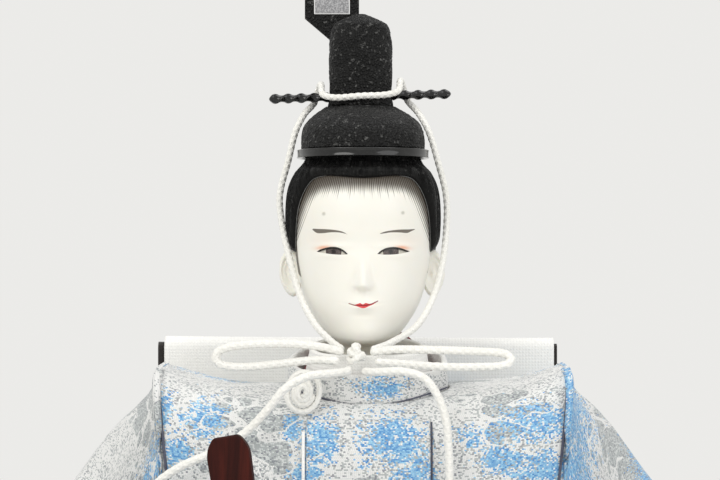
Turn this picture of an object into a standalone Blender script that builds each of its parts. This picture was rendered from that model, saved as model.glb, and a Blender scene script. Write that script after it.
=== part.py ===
"""Hina doll: the emperor of a pair, seated in court dress.

Units are metres, +Z is up, the doll faces -Y and +X is the right side of the picture.
Names with right and left are the doll's own sides, so its right hand is at -X.
Each piece is built in place from section functions that share the same named sizes.
"""
import math

import bmesh
import bpy
from mathutils import Matrix, Vector

# Clearances and cloth
GAP = 0.0003
OVERRUN = 0.002
ROBE_WALL = 0.0016
THIN_CLOTH = 0.0008
PANEL_CLOTH = 0.0011

# Base board under the seat
BOARD_HALF_WIDTH = 0.048
BOARD_FRONT = 0.090
BOARD_BACK = 0.024
BOARD_HEIGHT = 0.006

# Trunk and robe
SHOULDER_HEIGHT = 0.1505
SHOULDER_DIP = 0.0062
SHOULDER_HALF_WIDTH = 0.0615
CHEST_HALF_WIDTH = 0.056
CHEST_LEVEL_SHARE = 0.6645
CHEST_LEVEL = SHOULDER_HEIGHT * CHEST_LEVEL_SHARE
CHEST_FRONT = 0.038
CHEST_BACK = 0.030
CHEST_SIDE_SLACK = 0.007
CHEST_ROUNDING_SHARE = 0.2525
CHEST_ROUNDING = SHOULDER_HEIGHT * CHEST_ROUNDING_SHARE
LAP_HEIGHT = 0.060
WAIST_RISE = 0.002
WAIST_HEIGHT = LAP_HEIGHT + WAIST_RISE
HEM_HEIGHT = 0.004
ARCH_POWER = 4.0

# Neck seat and collars
NECK_SEAT_DROP = 0.0145
NECK_SEAT_HEIGHT = SHOULDER_HEIGHT - NECK_SEAT_DROP
COLLAR_HALF_WIDTH = 0.0245
COLLAR_HALF_DEPTH = 0.0240
COLLAR_CENTRE_X = 0.0015
COLLAR_CENTRE_Y = -0.0062
COLLAR_HEIGHT = 0.0134
COLLAR_BACK_RISE = 0.0070
COLLAR_LEAN = 0.0008
COLLAR_SIDE_LEAN = 0.0030
COLLAR_WALL = 0.0018
WHITE_COLLAR_HEIGHT = 0.0188
WHITE_COLLAR_BACK_RISE = 0.0035
WHITE_COLLAR_WALL = 0.0020
RED_COLLAR_HEIGHT = 0.0130
RED_COLLAR_BACK_RISE = 0.0122
RED_COLLAR_WALL = 0.0012

# Overlapping front panel, piping and button knot
PANEL_LEFT = -0.0175
PANEL_RIGHT = 0.0193
PANEL_TOP_DROP = 0.0040
PIPING_WIDTH = 0.0009
PIPING_DEPTH = 0.0014
BUTTON_X = -0.0172
BUTTON_RISE = 0.0090
BUTTON_HEIGHT = NECK_SEAT_HEIGHT + BUTTON_RISE
BUTTON_HALF_WIDTH = 0.0035
BUTTON_HALF_HEIGHT = 0.0046
BUTTON_DEPTH = 0.0034
BUTTON_LOOP_RADIUS = 0.0008

# Belt and sash
BELT_HEIGHT = 0.007
BELT_WALL = 0.0012
SASH_HALF_WIDTH = 0.0115

# Lap, skirt and hakama
LAP_HALF_WIDTH = 0.0575
LAP_REACH = 0.066
SKIRT_HEM = 0.015
LAP_POWER = 2.6
LAP_SIDE_POWER = 4.0
LAP_CORNER_SHARE = 0.80
FOLD_DEPTH = 0.0011
FOLD_COUNT = 7
RAN_TOP = 0.031
RAN_WALL = 0.0012
HAKAMA_HEM = 0.0022
HAKAMA_PUFF = 0.0080
HAKAMA_PUFF_SHARE = 0.86
HAKAMA_WALL = 0.0014
HAKAMA_PARTING = 0.0016
LINING_HEM = 0.0005
BLOCK_SLACK = 0.0020

# Sleeves and arms
SLEEVE_SPREAD = 0.152
CUFF_FORWARD = 0.098
SLEEVE_DEPTH = 0.0285
SLEEVE_FLOOR = 0.0015
INNER_SLEEVE_WALL = 0.0009
INNER_SLEEVE_STATIONS = 3
SLEEVE_SIDES = 18
INNER_SLEEVE_STEP = 0.0016
ARM_RADIUS = 0.0046
ARMHOLE_EASE = 0.0016
WRIST_RADIUS = 0.0027
ARM_HANG_SHARE = 0.30
WRIST_HANG_SHARE = 0.17

# Hands
PALM_HALF_LENGTH = 0.0048
PALM_HALF_WIDTH = 0.0056
PALM_HALF_DEPTH = 0.0030
FINGER_RADIUS = 0.00165
FINGER_PITCH = 0.0028
FINGER_COUNT = 4
FINGER_TAPER_SHARE = 0.25
PALM_TAPER_SHARE = 0.35
PALM_EASE_SHARE = 0.2
WRIST_TURN_SHARES = (0.35, 0.10)

# Baton
SHAKU_LENGTH = 0.092
SHAKU_TOP_WIDTH = 0.0124
SHAKU_FOOT_WIDTH = 0.0078
SHAKU_THICKNESS = 0.0024
SHAKU_HELD = 0.022

# Train behind the shoulders
TRAIN_LEFT = -0.0635
TRAIN_RIGHT = 0.0612
TRAIN_FRONT = CHEST_BACK + BELT_WALL + GAP * 3
TRAIN_DEPTH = 0.0075
TRAIN_RISE = 0.0067
TRAIN_TOP = SHOULDER_HEIGHT + TRAIN_RISE
TRAIN_WALL = 0.0016
TRAIN_SHOW_LEFT = 0.0022
TRAIN_SHOW_RIGHT = 0.0012
TRAIN_TAIL = 0.045
TRAIN_FLOOR = 0.0005

# Head
HEAD_HALF_WIDTH = 0.0208
HEAD_FRONT = 0.0240
HEAD_BACK = 0.0250
NECK_LENGTH = 0.0220
HEAD_HEIGHT = 0.0630
CHIN_HEIGHT = NECK_SEAT_HEIGHT + NECK_LENGTH
SKULL_TOP = CHIN_HEIGHT + HEAD_HEIGHT
NOSE_LENGTH = 0.0034
NOSE_HEIGHT_SHARE = 0.2778
NOSE_HEIGHT = CHIN_HEIGHT + HEAD_HEIGHT * NOSE_HEIGHT_SHARE
NOSE_HALF_WIDTH = 0.0022
LIP_HEIGHT_SHARE = 0.1825
LIP_HEIGHT = CHIN_HEIGHT + HEAD_HEIGHT * LIP_HEIGHT_SHARE
LIP_FULLNESS = 0.0007
EYE_HEIGHT_SHARE = 0.4349
EYE_HEIGHT = CHIN_HEIGHT + HEAD_HEIGHT * EYE_HEIGHT_SHARE
EYE_SPACING = 0.0091
EYE_HALF_WIDTH = 0.0046
EYE_HALF_HEIGHT = 0.0012
EYE_DEPTH = 0.0022
EAR_HEIGHT_SHARE = 0.3254
EAR_HEIGHT = CHIN_HEIGHT + HEAD_HEIGHT * EAR_HEIGHT_SHARE
EAR_HALF_HEIGHT = 0.0072
EAR_HALF_DEPTH = 0.0036
EAR_STAND = 0.0037
EAR_REACH = HEAD_HALF_WIDTH + EAR_STAND
EAR_SETBACK = 0.0030
EAR_THICKNESS = 0.0016

# Hair
HAIR_SIDE_DEPTH = 0.0027
HAIR_FRONT_DEPTH = 0.0012
HAIR_BACK_DEPTH = 0.0035
HAIR_HALF_WIDTH = HEAD_HALF_WIDTH + HAIR_SIDE_DEPTH
HAIR_FRONT = HEAD_FRONT + HAIR_FRONT_DEPTH
HAIR_BACK = HEAD_BACK + HAIR_BACK_DEPTH
HAIR_TOP_SHARE = 0.9444
HAIR_FRONT_EDGE_SHARE = 0.7746
HAIR_NAPE_EDGE_SHARE = 0.1746
HAIR_TOP = CHIN_HEIGHT + HEAD_HEIGHT * HAIR_TOP_SHARE
HAIR_FRONT_EDGE = CHIN_HEIGHT + HEAD_HEIGHT * HAIR_FRONT_EDGE_SHARE
HAIR_NAPE_EDGE = CHIN_HEIGHT + HEAD_HEIGHT * HAIR_NAPE_EDGE_SHARE
HAIR_LINING = 0.0010

# Neck peg
PEG_RADIUS = 0.0035
PEG_IN_HEAD = 0.014
PEG_IN_TRUNK = 0.032
PEG_TAPER = 0.0004

# Crown
RIM_WIDTH_SHARE = 0.8426
RIM_DEPTH_SHARE = 0.8641
RIM_HALF_WIDTH = HAIR_HALF_WIDTH * RIM_WIDTH_SHARE
RIM_HALF_DEPTH = (HAIR_FRONT + HAIR_BACK) / 2 * RIM_DEPTH_SHARE
RIM_CENTRE_Y = 0.0010
RIM_HEIGHT = 0.0026
RIM_OVERLAP = 0.0042
RIM_BASE = HAIR_TOP - RIM_OVERLAP
RIM_WALL = 0.0013
RIM_LEDGE = 0.0010
CAP_HALF_WIDTH = RIM_HALF_WIDTH - RIM_LEDGE
CAP_HALF_DEPTH = RIM_HALF_DEPTH - RIM_LEDGE
CAP_HEIGHT = 0.0132
CAP_WALL = 0.0009
KOJI_CENTRE_X = -0.0007
KOJI_CENTRE_Y = 0.0080
KOJI_HALF_WIDTH = 0.0097
KOJI_HALF_DEPTH = 0.0085
KOJI_BASE = RIM_BASE + RIM_HEIGHT + CAP_HEIGHT + GAP * 2
KOJI_HEIGHT = 0.0285
KOJI_WALL = 0.0009
PIN_RADIUS = 0.00145
PIN_SHANK_RADIUS = 0.0010
PIN_FLATNESS_SHARE = 0.66
PIN_LEFT = -0.0289
PIN_RIGHT = 0.0271
PIN_LEFT_RISE = 0.0023
PIN_RIGHT_RISE = 0.0039
PIN_LEFT_HEIGHT = KOJI_BASE + PIN_LEFT_RISE
PIN_RIGHT_HEIGHT = KOJI_BASE + PIN_RIGHT_RISE
PIN_SCALLOP = 0.0040

# Tail of the crown (ei) and its socket
EI_WIDTH = 0.0170
EI_LEFT = -0.0182
SOCKET_HEIGHT = 0.0133
SOCKET_TOP = KOJI_BASE + SOCKET_HEIGHT
EI_FOOT_RISE = 0.0070
EI_SHOULDER_RISE = 0.0150
EI_HEIGHT = 0.0795
EI_FOOT = SOCKET_TOP + EI_FOOT_RISE
EI_SHOULDER = SOCKET_TOP + EI_SHOULDER_RISE
EI_TOP = SOCKET_TOP + EI_HEIGHT
EI_BORDER = 0.0029
EI_THICKNESS = 0.0011
EI_GAUZE_THICKNESS = 0.0005
EI_TANG_WIDTH = 0.0062
EI_TANG_LENGTH = 0.0105
EI_BOW = 0.0060
SOCKET_WALL = 0.0012

# Sword and scabbard
SWORD_STAND = 0.0108
SWORD_X = CHEST_HALF_WIDTH + SWORD_STAND
SWORD_FORWARD = 0.0300
SWORD_RISE = 0.0100
SWORD_HEIGHT = WAIST_HEIGHT + SWORD_RISE
SWORD_LEAN_SHARES = (-0.07, -0.92, 0.38)
SCABBARD_HALF_WIDTH = 0.0040
SCABBARD_HALF_DEPTH = 0.0027
SCABBARD_MOUTH = 0.0300
SCABBARD_LENGTH = 0.136
SCABBARD_CAP = 0.012
BLADE_WIDTH = 0.0044
BLADE_THICKNESS = 0.0014
BLADE_LENGTH = 0.122
GUARD_HALF_WIDTH = 0.0056
GUARD_THICKNESS = 0.0014
HILT_LENGTH = 0.030
HILT_HALF_WIDTH = 0.0034
HILT_HALF_DEPTH = 0.0025
HANGER_WIDTH = 0.0042
HANGER_WALL = 0.0010
HANGER_FRONT = 0.0120
HANGER_REAR = -0.0060

# Cords
CROWN_CORD_RADIUS = 0.0010
BOW_CORD_RADIUS = 0.0012
KNOT_LEFT = 0.0018
KNOT_STAND = 0.0075
KNOT_DROP = 0.0023
KNOT_HALF_WIDTH = 0.0033
KNOT_HALF_DEPTH = 0.0026
KNOT_HALF_HEIGHT = 0.0031

UP = Vector((0, 0, 1))
SWORD_AXIS = Vector(SWORD_LEAN_SHARES).normalized()
SWORD_POINT = Vector((SWORD_X, -SWORD_FORWARD, SWORD_HEIGHT))
SHAKU_LEAN_SHARES = (-0.156, 0.130, 0.979)
SHAKU_TOP_SHARES = (-0.2362, -0.8673, 0.9123)
SHAKU_AXIS = Vector(SHAKU_LEAN_SHARES).normalized()
SHAKU_TOP = Vector((
    SHAKU_TOP_SHARES[0] * SLEEVE_SPREAD,
    SHAKU_TOP_SHARES[1] * CUFF_FORWARD,
    SHAKU_TOP_SHARES[2] * SHOULDER_HEIGHT,
))
FIST = SHAKU_TOP - SHAKU_AXIS * (SHAKU_LENGTH - SHAKU_HELD)
LEFT_FIST = Vector((-FIST.x, FIST.y, FIST.z))
LEFT_FIST_AXIS = Vector((-SHAKU_AXIS.x, SHAKU_AXIS.y, SHAKU_AXIS.z))

ORIGINS = {
    "trunk": Vector((0, 0, 0)),
    "neck": Vector((0, 0, NECK_SEAT_HEIGHT)),
    "head": Vector((0, 0, NECK_SEAT_HEIGHT + GAP)),
    "ei": Vector((KOJI_CENTRE_X, KOJI_CENTRE_Y + KOJI_HALF_DEPTH, SOCKET_TOP)),
    "shaku": FIST,
    "sword": SWORD_POINT + SWORD_AXIS * SCABBARD_MOUTH,
}

COLOURS = {
    "brocade": ((0.66, 0.72, 0.80), 0.45, 0.15),
    "white_silk": ((0.86, 0.85, 0.82), 0.60, 0.0),
    "red_silk": ((0.22, 0.020, 0.030), 0.60, 0.0),
    "dark_silk": ((0.020, 0.016, 0.014), 0.60, 0.0),
    "white_brocade": ((0.80, 0.79, 0.76), 0.55, 0.0),
    "straw": ((0.62, 0.48, 0.25), 0.90, 0.0),
    "plain_wood": ((0.66, 0.50, 0.32), 0.65, 0.0),
    "wrapped_wire": ((0.80, 0.77, 0.68), 0.85, 0.0),
    "face_white": ((0.88, 0.85, 0.79), 0.45, 0.0),
    "eye_glass": ((0.015, 0.010, 0.008), 0.08, 0.0),
    "hair_silk": ((0.010, 0.010, 0.011), 0.38, 0.0),
    "crown_gauze": ((0.012, 0.012, 0.013), 0.55, 0.0),
    "crown_lacquer": ((0.008, 0.008, 0.009), 0.12, 0.0),
    "grey_gauze": ((0.40, 0.40, 0.41), 0.70, 0.0),
    "cord_silk": ((0.84, 0.83, 0.78), 0.65, 0.0),
    "shaku_wood": ((0.060, 0.016, 0.012), 0.40, 0.0),
    "belt_leather": ((0.012, 0.011, 0.010), 0.22, 0.0),
    "sash_silk": ((0.070, 0.060, 0.190), 0.60, 0.0),
    "black_lacquer": ((0.010, 0.009, 0.009), 0.14, 0.0),
    "gilt_metal": ((0.80, 0.58, 0.24), 0.28, 1.0),
    "steel": ((0.70, 0.71, 0.72), 0.22, 1.0),
    "rayskin": ((0.80, 0.77, 0.68), 0.60, 0.0),
}

EMPTIES = {}
MATERIALS = {}


# Scene helpers

def clear_scene():
    """Remove every object, so that the build starts from nothing."""
    for obj in list(bpy.data.objects):
        bpy.data.objects.remove(obj, do_unlink=True)


def add_bodies():
    """Make one empty for each moving body, on its joint."""
    for body, origin in ORIGINS.items():
        empty = bpy.data.objects.new("body_" + body, None)
        empty.location = origin
        bpy.context.scene.collection.objects.link(empty)
        EMPTIES[body] = empty
    bpy.context.view_layer.update()


def material(name):
    """Return the named material, made once from the table of colours."""
    if name not in MATERIALS:
        colour, roughness, metallic = COLOURS[name]
        made = bpy.data.materials.new(name)
        made.use_nodes = True
        shader = made.node_tree.nodes["Principled BSDF"]
        shader.inputs["Base Color"].default_value = (*colour, 1.0)
        shader.inputs["Roughness"].default_value = roughness
        shader.inputs["Metallic"].default_value = metallic
        made.diffuse_color = (*colour, 1.0)
        MATERIALS[name] = made
    return MATERIALS[name]


def solid(name, points, faces, look, body):
    """Make one closed mesh object from world points, parented to its body's empty."""
    origin = ORIGINS[body]
    mesh = bpy.data.meshes.new(name)
    mesh.from_pydata([tuple(point - origin) for point in points], [], faces)
    work = bmesh.new()
    work.from_mesh(mesh)
    bmesh.ops.recalc_face_normals(work, faces=work.faces)
    work.to_mesh(mesh)
    work.free()
    mesh.materials.append(material(look))
    obj = bpy.data.objects.new(name, mesh)
    obj.parent = EMPTIES[body]
    bpy.context.scene.collection.objects.link(obj)
    return obj


def change(obj, other, operation):
    """Cut the other solid from this one, or join it, and hide the other."""
    modifier = obj.modifiers.new(operation.lower(), "BOOLEAN")
    modifier.operation = operation
    modifier.object = other
    modifier.solver = "EXACT"
    other.hide_render = True
    other.display_type = "WIRE"


# Mesh builders

def grid_faces(rows, columns, closed):
    """Return the quads of a grid of points, row by row."""
    last = columns if closed else columns - 1
    faces = []
    for row in range(rows - 1):
        for column in range(last):
            right = (column + 1) % columns
            low = row * columns
            high = low + columns
            faces.append((low + column, low + right, high + right, high + column))
    return faces


def capped(name, rings, look, body):
    """Loft closed rings and close both ends with fans."""
    count = len(rings[0])
    points = [point for ring_points in rings for point in ring_points]
    faces = grid_faces(len(rings), count, True)
    for ring_points, start in ((rings[0], 0), (rings[-1], count * (len(rings) - 1))):
        centre = len(points)
        points.append(sum(ring_points, Vector()) / count)
        for column in range(count):
            faces.append((start + column, start + (column + 1) % count, centre))
    return solid(name, points, faces, look, body)


def shell(name, outer, inner, look, body):
    """Loft a tube with a wall: outer and inner rings, joined at both open ends."""
    rows = len(outer)
    count = len(outer[0])
    points = [point for ring_points in outer + inner for point in ring_points]
    faces = grid_faces(rows, count, True)
    offset = rows * count
    faces += [tuple(offset + index for index in face) for face in grid_faces(rows, count, True)]
    for start in (0, count * (rows - 1)):
        for column in range(count):
            right = (column + 1) % count
            faces.append((start + column, start + right, offset + start + right, offset + start + column))
    return solid(name, points, faces, look, body)


def sheet(name, outer, inner, look, body):
    """Join two open grids of points into a closed sheet with four edges."""
    rows = len(outer)
    count = len(outer[0])
    points = [point for row in outer + inner for point in row]
    offset = rows * count
    faces = grid_faces(rows, count, False)
    faces += [tuple(offset + index for index in face) for face in grid_faces(rows, count, False)]
    border = [column for column in range(count)]
    border += [row * count + count - 1 for row in range(1, rows)]
    border += [(rows - 1) * count + column for column in range(count - 2, -1, -1)]
    border += [row * count for row in range(rows - 2, 0, -1)]
    for index, here in enumerate(border):
        after = border[(index + 1) % len(border)]
        faces.append((here, after, offset + after, offset + here))
    return solid(name, points, faces, look, body)


def shares(count, low=0.0, high=1.0):
    """Return evenly spaced shares from low to high."""
    return [low + (high - low) * index / (count - 1) for index in range(count)]


def soft_step(value):
    """Ease from 0 to 1."""
    value = min(max(value, 0.0), 1.0)
    return value * value * (3 - 2 * value)


def signed_power(value, power):
    """Raise the size of a value to a power and keep its sign."""
    return math.copysign(abs(value) ** power, value)


def read_table(table, share):
    """Read rows of (share, value, ...) along a smooth curve through them."""
    share = min(max(share, table[0][0]), table[-1][0])
    index = 0
    while index < len(table) - 2 and share > table[index + 1][0]:
        index += 1
    before = table[max(index - 1, 0)]
    start = table[index]
    end = table[index + 1]
    after = table[min(index + 2, len(table) - 1)]
    span = end[0] - start[0]
    t = (share - start[0]) / span
    values = []
    for column in range(1, len(start)):
        slope_start = (end[column] - before[column]) / (end[0] - before[0]) * span
        slope_end = (after[column] - start[column]) / (after[0] - start[0]) * span
        values.append(
            start[column] * (2 * t ** 3 - 3 * t ** 2 + 1)
            + slope_start * (t ** 3 - 2 * t ** 2 + t)
            + end[column] * (3 * t ** 2 - 2 * t ** 3)
            + slope_end * (t ** 3 - t ** 2)
        )
    return values


def oval(centre, side, top, power, count):
    """Return a ring of points on a superellipse spanned by two half axes."""
    ring_points = []
    for index in range(count):
        angle = math.tau * (index + 0.5) / count
        across = signed_power(math.cos(angle), 2 / power)
        along = signed_power(math.sin(angle), 2 / power)
        ring_points.append(centre + side * across + top * along)
    return ring_points


def rod(name, start, end, radius, sides, look, body):
    """Make a plain round rod between two points."""
    axis = (end - start).normalized()
    side = axis.orthogonal().normalized()
    top = axis.cross(side)
    rings = [oval(place, side * radius, top * radius, 2, sides) for place in (start, end)]
    return capped(name, rings, look, body)


def smooth_route(route, spacing):
    """Return points a set distance apart on a smooth curve through the route."""
    points = [Vector(place) for place in route]
    table = []
    travelled = 0.0
    for index, point in enumerate(points):
        if index:
            travelled += (point - points[index - 1]).length
        table.append((travelled, *point))
    count = max(int(round(travelled / spacing)), 2)
    return [Vector(read_table(table, travelled * share)) for share in shares(count + 1)]


def tube(name, route, radius, spacing, look, body):
    """Make a cord as a bevelled curve with filled caps."""
    curve = bpy.data.curves.new(name, "CURVE")
    curve.dimensions = "3D"
    curve.bevel_depth = radius
    curve.bevel_resolution = 2
    curve.use_fill_caps = True
    curve.twist_mode = "MINIMUM"
    places = smooth_route(route, spacing)
    spline = curve.splines.new("POLY")
    spline.points.add(len(places) - 1)
    for point, place in zip(spline.points, places):
        point.co = (*(place - ORIGINS[body]), 1.0)
    curve.materials.append(material(look))
    obj = bpy.data.objects.new(name, curve)
    obj.parent = EMPTIES[body]
    bpy.context.scene.collection.objects.link(obj)
    return obj


# Trunk and upper robe

def chest_half_width(height):
    """Half width of the robe between the sleeve seams, wider towards the shoulders."""
    share = min(max((height - CHEST_LEVEL) / (SHOULDER_HEIGHT - CHEST_LEVEL), 0.0), 1.0)
    return CHEST_HALF_WIDTH + (SHOULDER_HALF_WIDTH - CHEST_HALF_WIDTH) * share


def ridge_height(across):
    """Height of the shoulder line, dipping towards the neck."""
    return SHOULDER_HEIGHT - SHOULDER_DIP * (1 - abs(across) ** 2.5)


def chest_point(across, up, inset, side, low):
    """A point of the robe: across is -1 to 1; up is 0 at its hem, 2 where it rounds, 3 on the ridge."""
    depth = CHEST_FRONT if side < 0 else CHEST_BACK
    depth -= CHEST_SIDE_SLACK * abs(across) ** 3 + inset
    straight_top = SHOULDER_HEIGHT - CHEST_ROUNDING
    if up <= 1:
        height = low + (CHEST_LEVEL - low) * up
        forward = depth
    elif up <= 2:
        height = CHEST_LEVEL + (straight_top - CHEST_LEVEL) * (up - 1)
        forward = depth
    else:
        angle = (up - 2) * math.pi / 2
        top = ridge_height(across) - inset
        height = straight_top + (top - straight_top) * abs(math.sin(angle)) ** (2 / ARCH_POWER)
        forward = depth * max(math.cos(angle), 0.0) ** (2 / ARCH_POWER)
    return Vector((across * chest_half_width(height), side * (GAP / 2 + forward), height))


CHEST_COLUMNS = 11
CHEST_ROW_SHARES = [0.0, 1.0] + shares(7, 2.0, 3.0)


def chest_grid(inset, side, low, narrow=0.0):
    """A grid of points over the front or the back of the robe, drawn in at its sides if asked."""
    edge = 1 - narrow / SHOULDER_HALF_WIDTH
    return [
        [chest_point(across, up, inset, side, low) for across in shares(CHEST_COLUMNS, -edge, edge)]
        for up in CHEST_ROW_SHARES
    ]


def wrapped_grid(inset, low):
    """A grid over both sides and the back of the robe, behind the edges of the front panel."""
    grid = []
    back = chest_grid(inset, 1, low, inset)
    for up, back_row in zip(CHEST_ROW_SHARES, back):
        seam = chest_point(1.0, up, ROBE_WALL + GAP, -1, low)
        edge = chest_point(1.0, up, ROBE_WALL + GAP + inset, -1, low)
        sides = []
        for corner, order in ((back_row[0], 1), (back_row[-1], -1)):
            front = Vector((corner.x, seam.y, edge.z))
            middle = Vector((corner.x, GAP / 2, edge.z))
            sides.append([front, middle][::order])
        grid.append(sides[0] + back_row + sides[1])
    return grid


def neck_cutter(name, margin, base):
    """The upright oval that the collars stand in."""
    centre = Vector((COLLAR_CENTRE_X, COLLAR_CENTRE_Y, base))
    side = Vector((COLLAR_HALF_WIDTH + margin, 0, 0))
    top = Vector((0, COLLAR_HALF_DEPTH + margin, 0))
    lift = UP * (SHOULDER_HEIGHT + OVERRUN - base)
    rings = [oval(centre, side, top, 2, 28), oval(centre + lift, side, top, 2, 28)]
    return capped(name, rings, "straw", "trunk")


def add_core():
    """Straw trunk with the socket of the neck peg and the seat of the collars."""
    inset = ROBE_WALL + GAP
    low = BOARD_HEIGHT + GAP
    front = chest_grid(inset, -1, low, inset)
    back = chest_grid(inset, 1, low, inset)
    core = sheet("straw_core", front, back, "straw", "trunk")
    change(core, neck_cutter("neck_seat_cutter", GAP, NECK_SEAT_HEIGHT), "DIFFERENCE")
    foot = Vector((0, 0, NECK_SEAT_HEIGHT - PEG_IN_TRUNK - GAP))
    mouth = Vector((0, 0, NECK_SEAT_HEIGHT + OVERRUN))
    bore = rod("peg_bore_cutter", foot, mouth, PEG_RADIUS + GAP, 20, "straw", "trunk")
    change(core, bore, "DIFFERENCE")


def add_base_board():
    """Wooden board that the doll stands on."""
    middle = (BOARD_BACK - BOARD_FRONT) / 2
    side = Vector((BOARD_HALF_WIDTH, 0, 0))
    top = Vector((0, (BOARD_BACK + BOARD_FRONT) / 2, 0))
    rings = [oval(Vector((0, middle, height)), side, top, 6, 24) for height in (0, BOARD_HEIGHT)]
    capped("base_board", rings, "plain_wood", "trunk")


def add_robe():
    """Front and back of the brocade robe, open where the collars stand."""
    cutter = neck_cutter("neck_hole_cutter", GAP, NECK_SEAT_HEIGHT - ROBE_WALL * 2)
    front = sheet(
        "robe_front",
        chest_grid(0, -1, WAIST_HEIGHT),
        chest_grid(ROBE_WALL, -1, WAIST_HEIGHT),
        "brocade",
        "trunk",
    )
    change(front, cutter, "DIFFERENCE")
    outer = wrapped_grid(0, HEM_HEIGHT)
    inner = wrapped_grid(ROBE_WALL, HEM_HEIGHT)
    back = sheet("robe_back", outer, inner, "brocade", "trunk")
    change(back, cutter, "DIFFERENCE")
    for hand, side in ((-1, "right"), (1, "left")):
        middle = arm_start(hand)
        reach = Vector((ROBE_WALL + OVERRUN, 0, 0))
        hole = rod("armhole_{}_cutter".format(side), middle - reach, middle + reach,
                   ARM_RADIUS + ARMHOLE_EASE, 12, "brocade", "trunk")
        change(back, hole, "DIFFERENCE")


def panel_point(x, height, lift):
    """A point a small lift in front of the robe's chest."""
    across = x / chest_half_width(height)
    depth = CHEST_FRONT - CHEST_SIDE_SLACK * abs(across) ** 3
    straight_top = SHOULDER_HEIGHT - CHEST_ROUNDING
    if height > straight_top:
        rise = (height - straight_top) / (ridge_height(across) - straight_top)
        depth *= (1 - min(rise, 1.0) ** ARCH_POWER) ** (1 / ARCH_POWER)
    return Vector((x, -(GAP / 2 + depth + lift), height))


def add_front_panel():
    """Panel that laps over the chest below the collar, with white piping on its edge."""
    low = WAIST_HEIGHT + BELT_HEIGHT + GAP
    high = NECK_SEAT_HEIGHT - PANEL_TOP_DROP
    columns = shares(6, PANEL_LEFT + PIPING_WIDTH + GAP, PANEL_RIGHT)
    rows = shares(8, low, high)
    outer = [[panel_point(x, height, GAP + PANEL_CLOTH) for x in columns] for height in rows]
    inner = [[panel_point(x, height, GAP) for x in columns] for height in rows]
    sheet("front_overlap", outer, inner, "brocade", "trunk")
    edge = (PANEL_LEFT, PANEL_LEFT + PIPING_WIDTH)
    outer = [[panel_point(x, height, GAP + PIPING_DEPTH) for x in edge] for height in rows]
    inner = [[panel_point(x, height, GAP) for x in edge] for height in rows]
    sheet("front_piping", outer, inner, "white_silk", "trunk")


def collar_ring(margin, side_lean, level, height, rise):
    """A ring of the collars, lifted towards the nape by the rise and leaning in as it climbs."""
    points = []
    foot = NECK_SEAT_HEIGHT + GAP
    centre = Vector((COLLAR_CENTRE_X, COLLAR_CENTRE_Y, foot))
    for place in oval(Vector(), Vector((1, 0, 0)), Vector((0, 1, 0)), 2, 28):
        climb = (height + rise * soft_step((place.y + 1) / 2)) * level
        climb_share = climb / WHITE_COLLAR_HEIGHT
        half_width = COLLAR_HALF_WIDTH - margin - side_lean * climb_share
        half_depth = COLLAR_HALF_DEPTH - margin - COLLAR_LEAN * climb_share
        points.append(centre + Vector((place.x * half_width, place.y * half_depth, climb)))
    return points


def add_collars():
    """Brocade band, dark red collar and white collar, nested round the neck."""
    red_margin = COLLAR_WALL + GAP
    white_margin = red_margin + RED_COLLAR_WALL + GAP
    bands = (
        ("collar_band", 0.0, COLLAR_WALL, COLLAR_LEAN, COLLAR_HEIGHT, COLLAR_BACK_RISE, "brocade"),
        ("collar_red", red_margin, RED_COLLAR_WALL, COLLAR_SIDE_LEAN, RED_COLLAR_HEIGHT,
         RED_COLLAR_BACK_RISE, "red_silk"),
        ("collar_white", white_margin, WHITE_COLLAR_WALL, COLLAR_SIDE_LEAN, WHITE_COLLAR_HEIGHT,
         WHITE_COLLAR_BACK_RISE, "white_silk"),
    )
    for name, margin, wall, side_lean, height, rise, look in bands:
        outer = [collar_ring(margin, side_lean, level, height, rise) for level in shares(3)]
        inner = [collar_ring(margin + wall, side_lean, level, height, rise) for level in shares(3)]
        shell(name, outer, inner, look, "trunk")


def add_button():
    """Button knot at the collar and the loop round it."""
    foot = BUTTON_HEIGHT - BUTTON_HALF_HEIGHT - BUTTON_LOOP_RADIUS * 2 - GAP
    seat = panel_point(BUTTON_X, foot, GAP + BUTTON_LOOP_RADIUS)
    centre = Vector((BUTTON_X, seat.y, BUTTON_HEIGHT))
    lean = Matrix.Rotation(math.radians(12), 3, "Y")
    side = lean @ Vector((BUTTON_HALF_WIDTH, 0, 0))
    top = lean @ Vector((0, 0, BUTTON_HALF_HEIGHT))
    depth = Vector((0, BUTTON_DEPTH / 2, 0))
    rings = []
    for angle in (-75, -40, 0, 40, 75):
        scale = math.cos(math.radians(angle)) ** 0.5
        push = depth * math.sin(math.radians(angle))
        rings.append(oval(centre + push, side * scale, top * scale, 2.3, 14))
    capped("tombo_button", rings, "cord_silk", "trunk")
    reach = BUTTON_LOOP_RADIUS + GAP
    side = side.normalized() * (BUTTON_HALF_WIDTH + reach)
    top = top.normalized() * (BUTTON_HALF_HEIGHT + reach)
    path = oval(centre, side, top, 2.1, 20)
    points = []
    sides = 6
    for place in path:
        outward = (place - centre).normalized()
        for index in range(sides):
            angle = math.tau * index / sides
            offset = outward * math.cos(angle) + Vector((0, 1, 0)) * math.sin(angle)
            points.append(place + offset * BUTTON_LOOP_RADIUS)
    faces = []
    for row in range(len(path)):
        for column in range(sides):
            after = (row + 1) % len(path)
            right = (column + 1) % sides
            faces.append((row * sides + column, row * sides + right,
                          after * sides + right, after * sides + column))
    solid("tombo_loop", points, faces, "cord_silk", "trunk")


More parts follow.
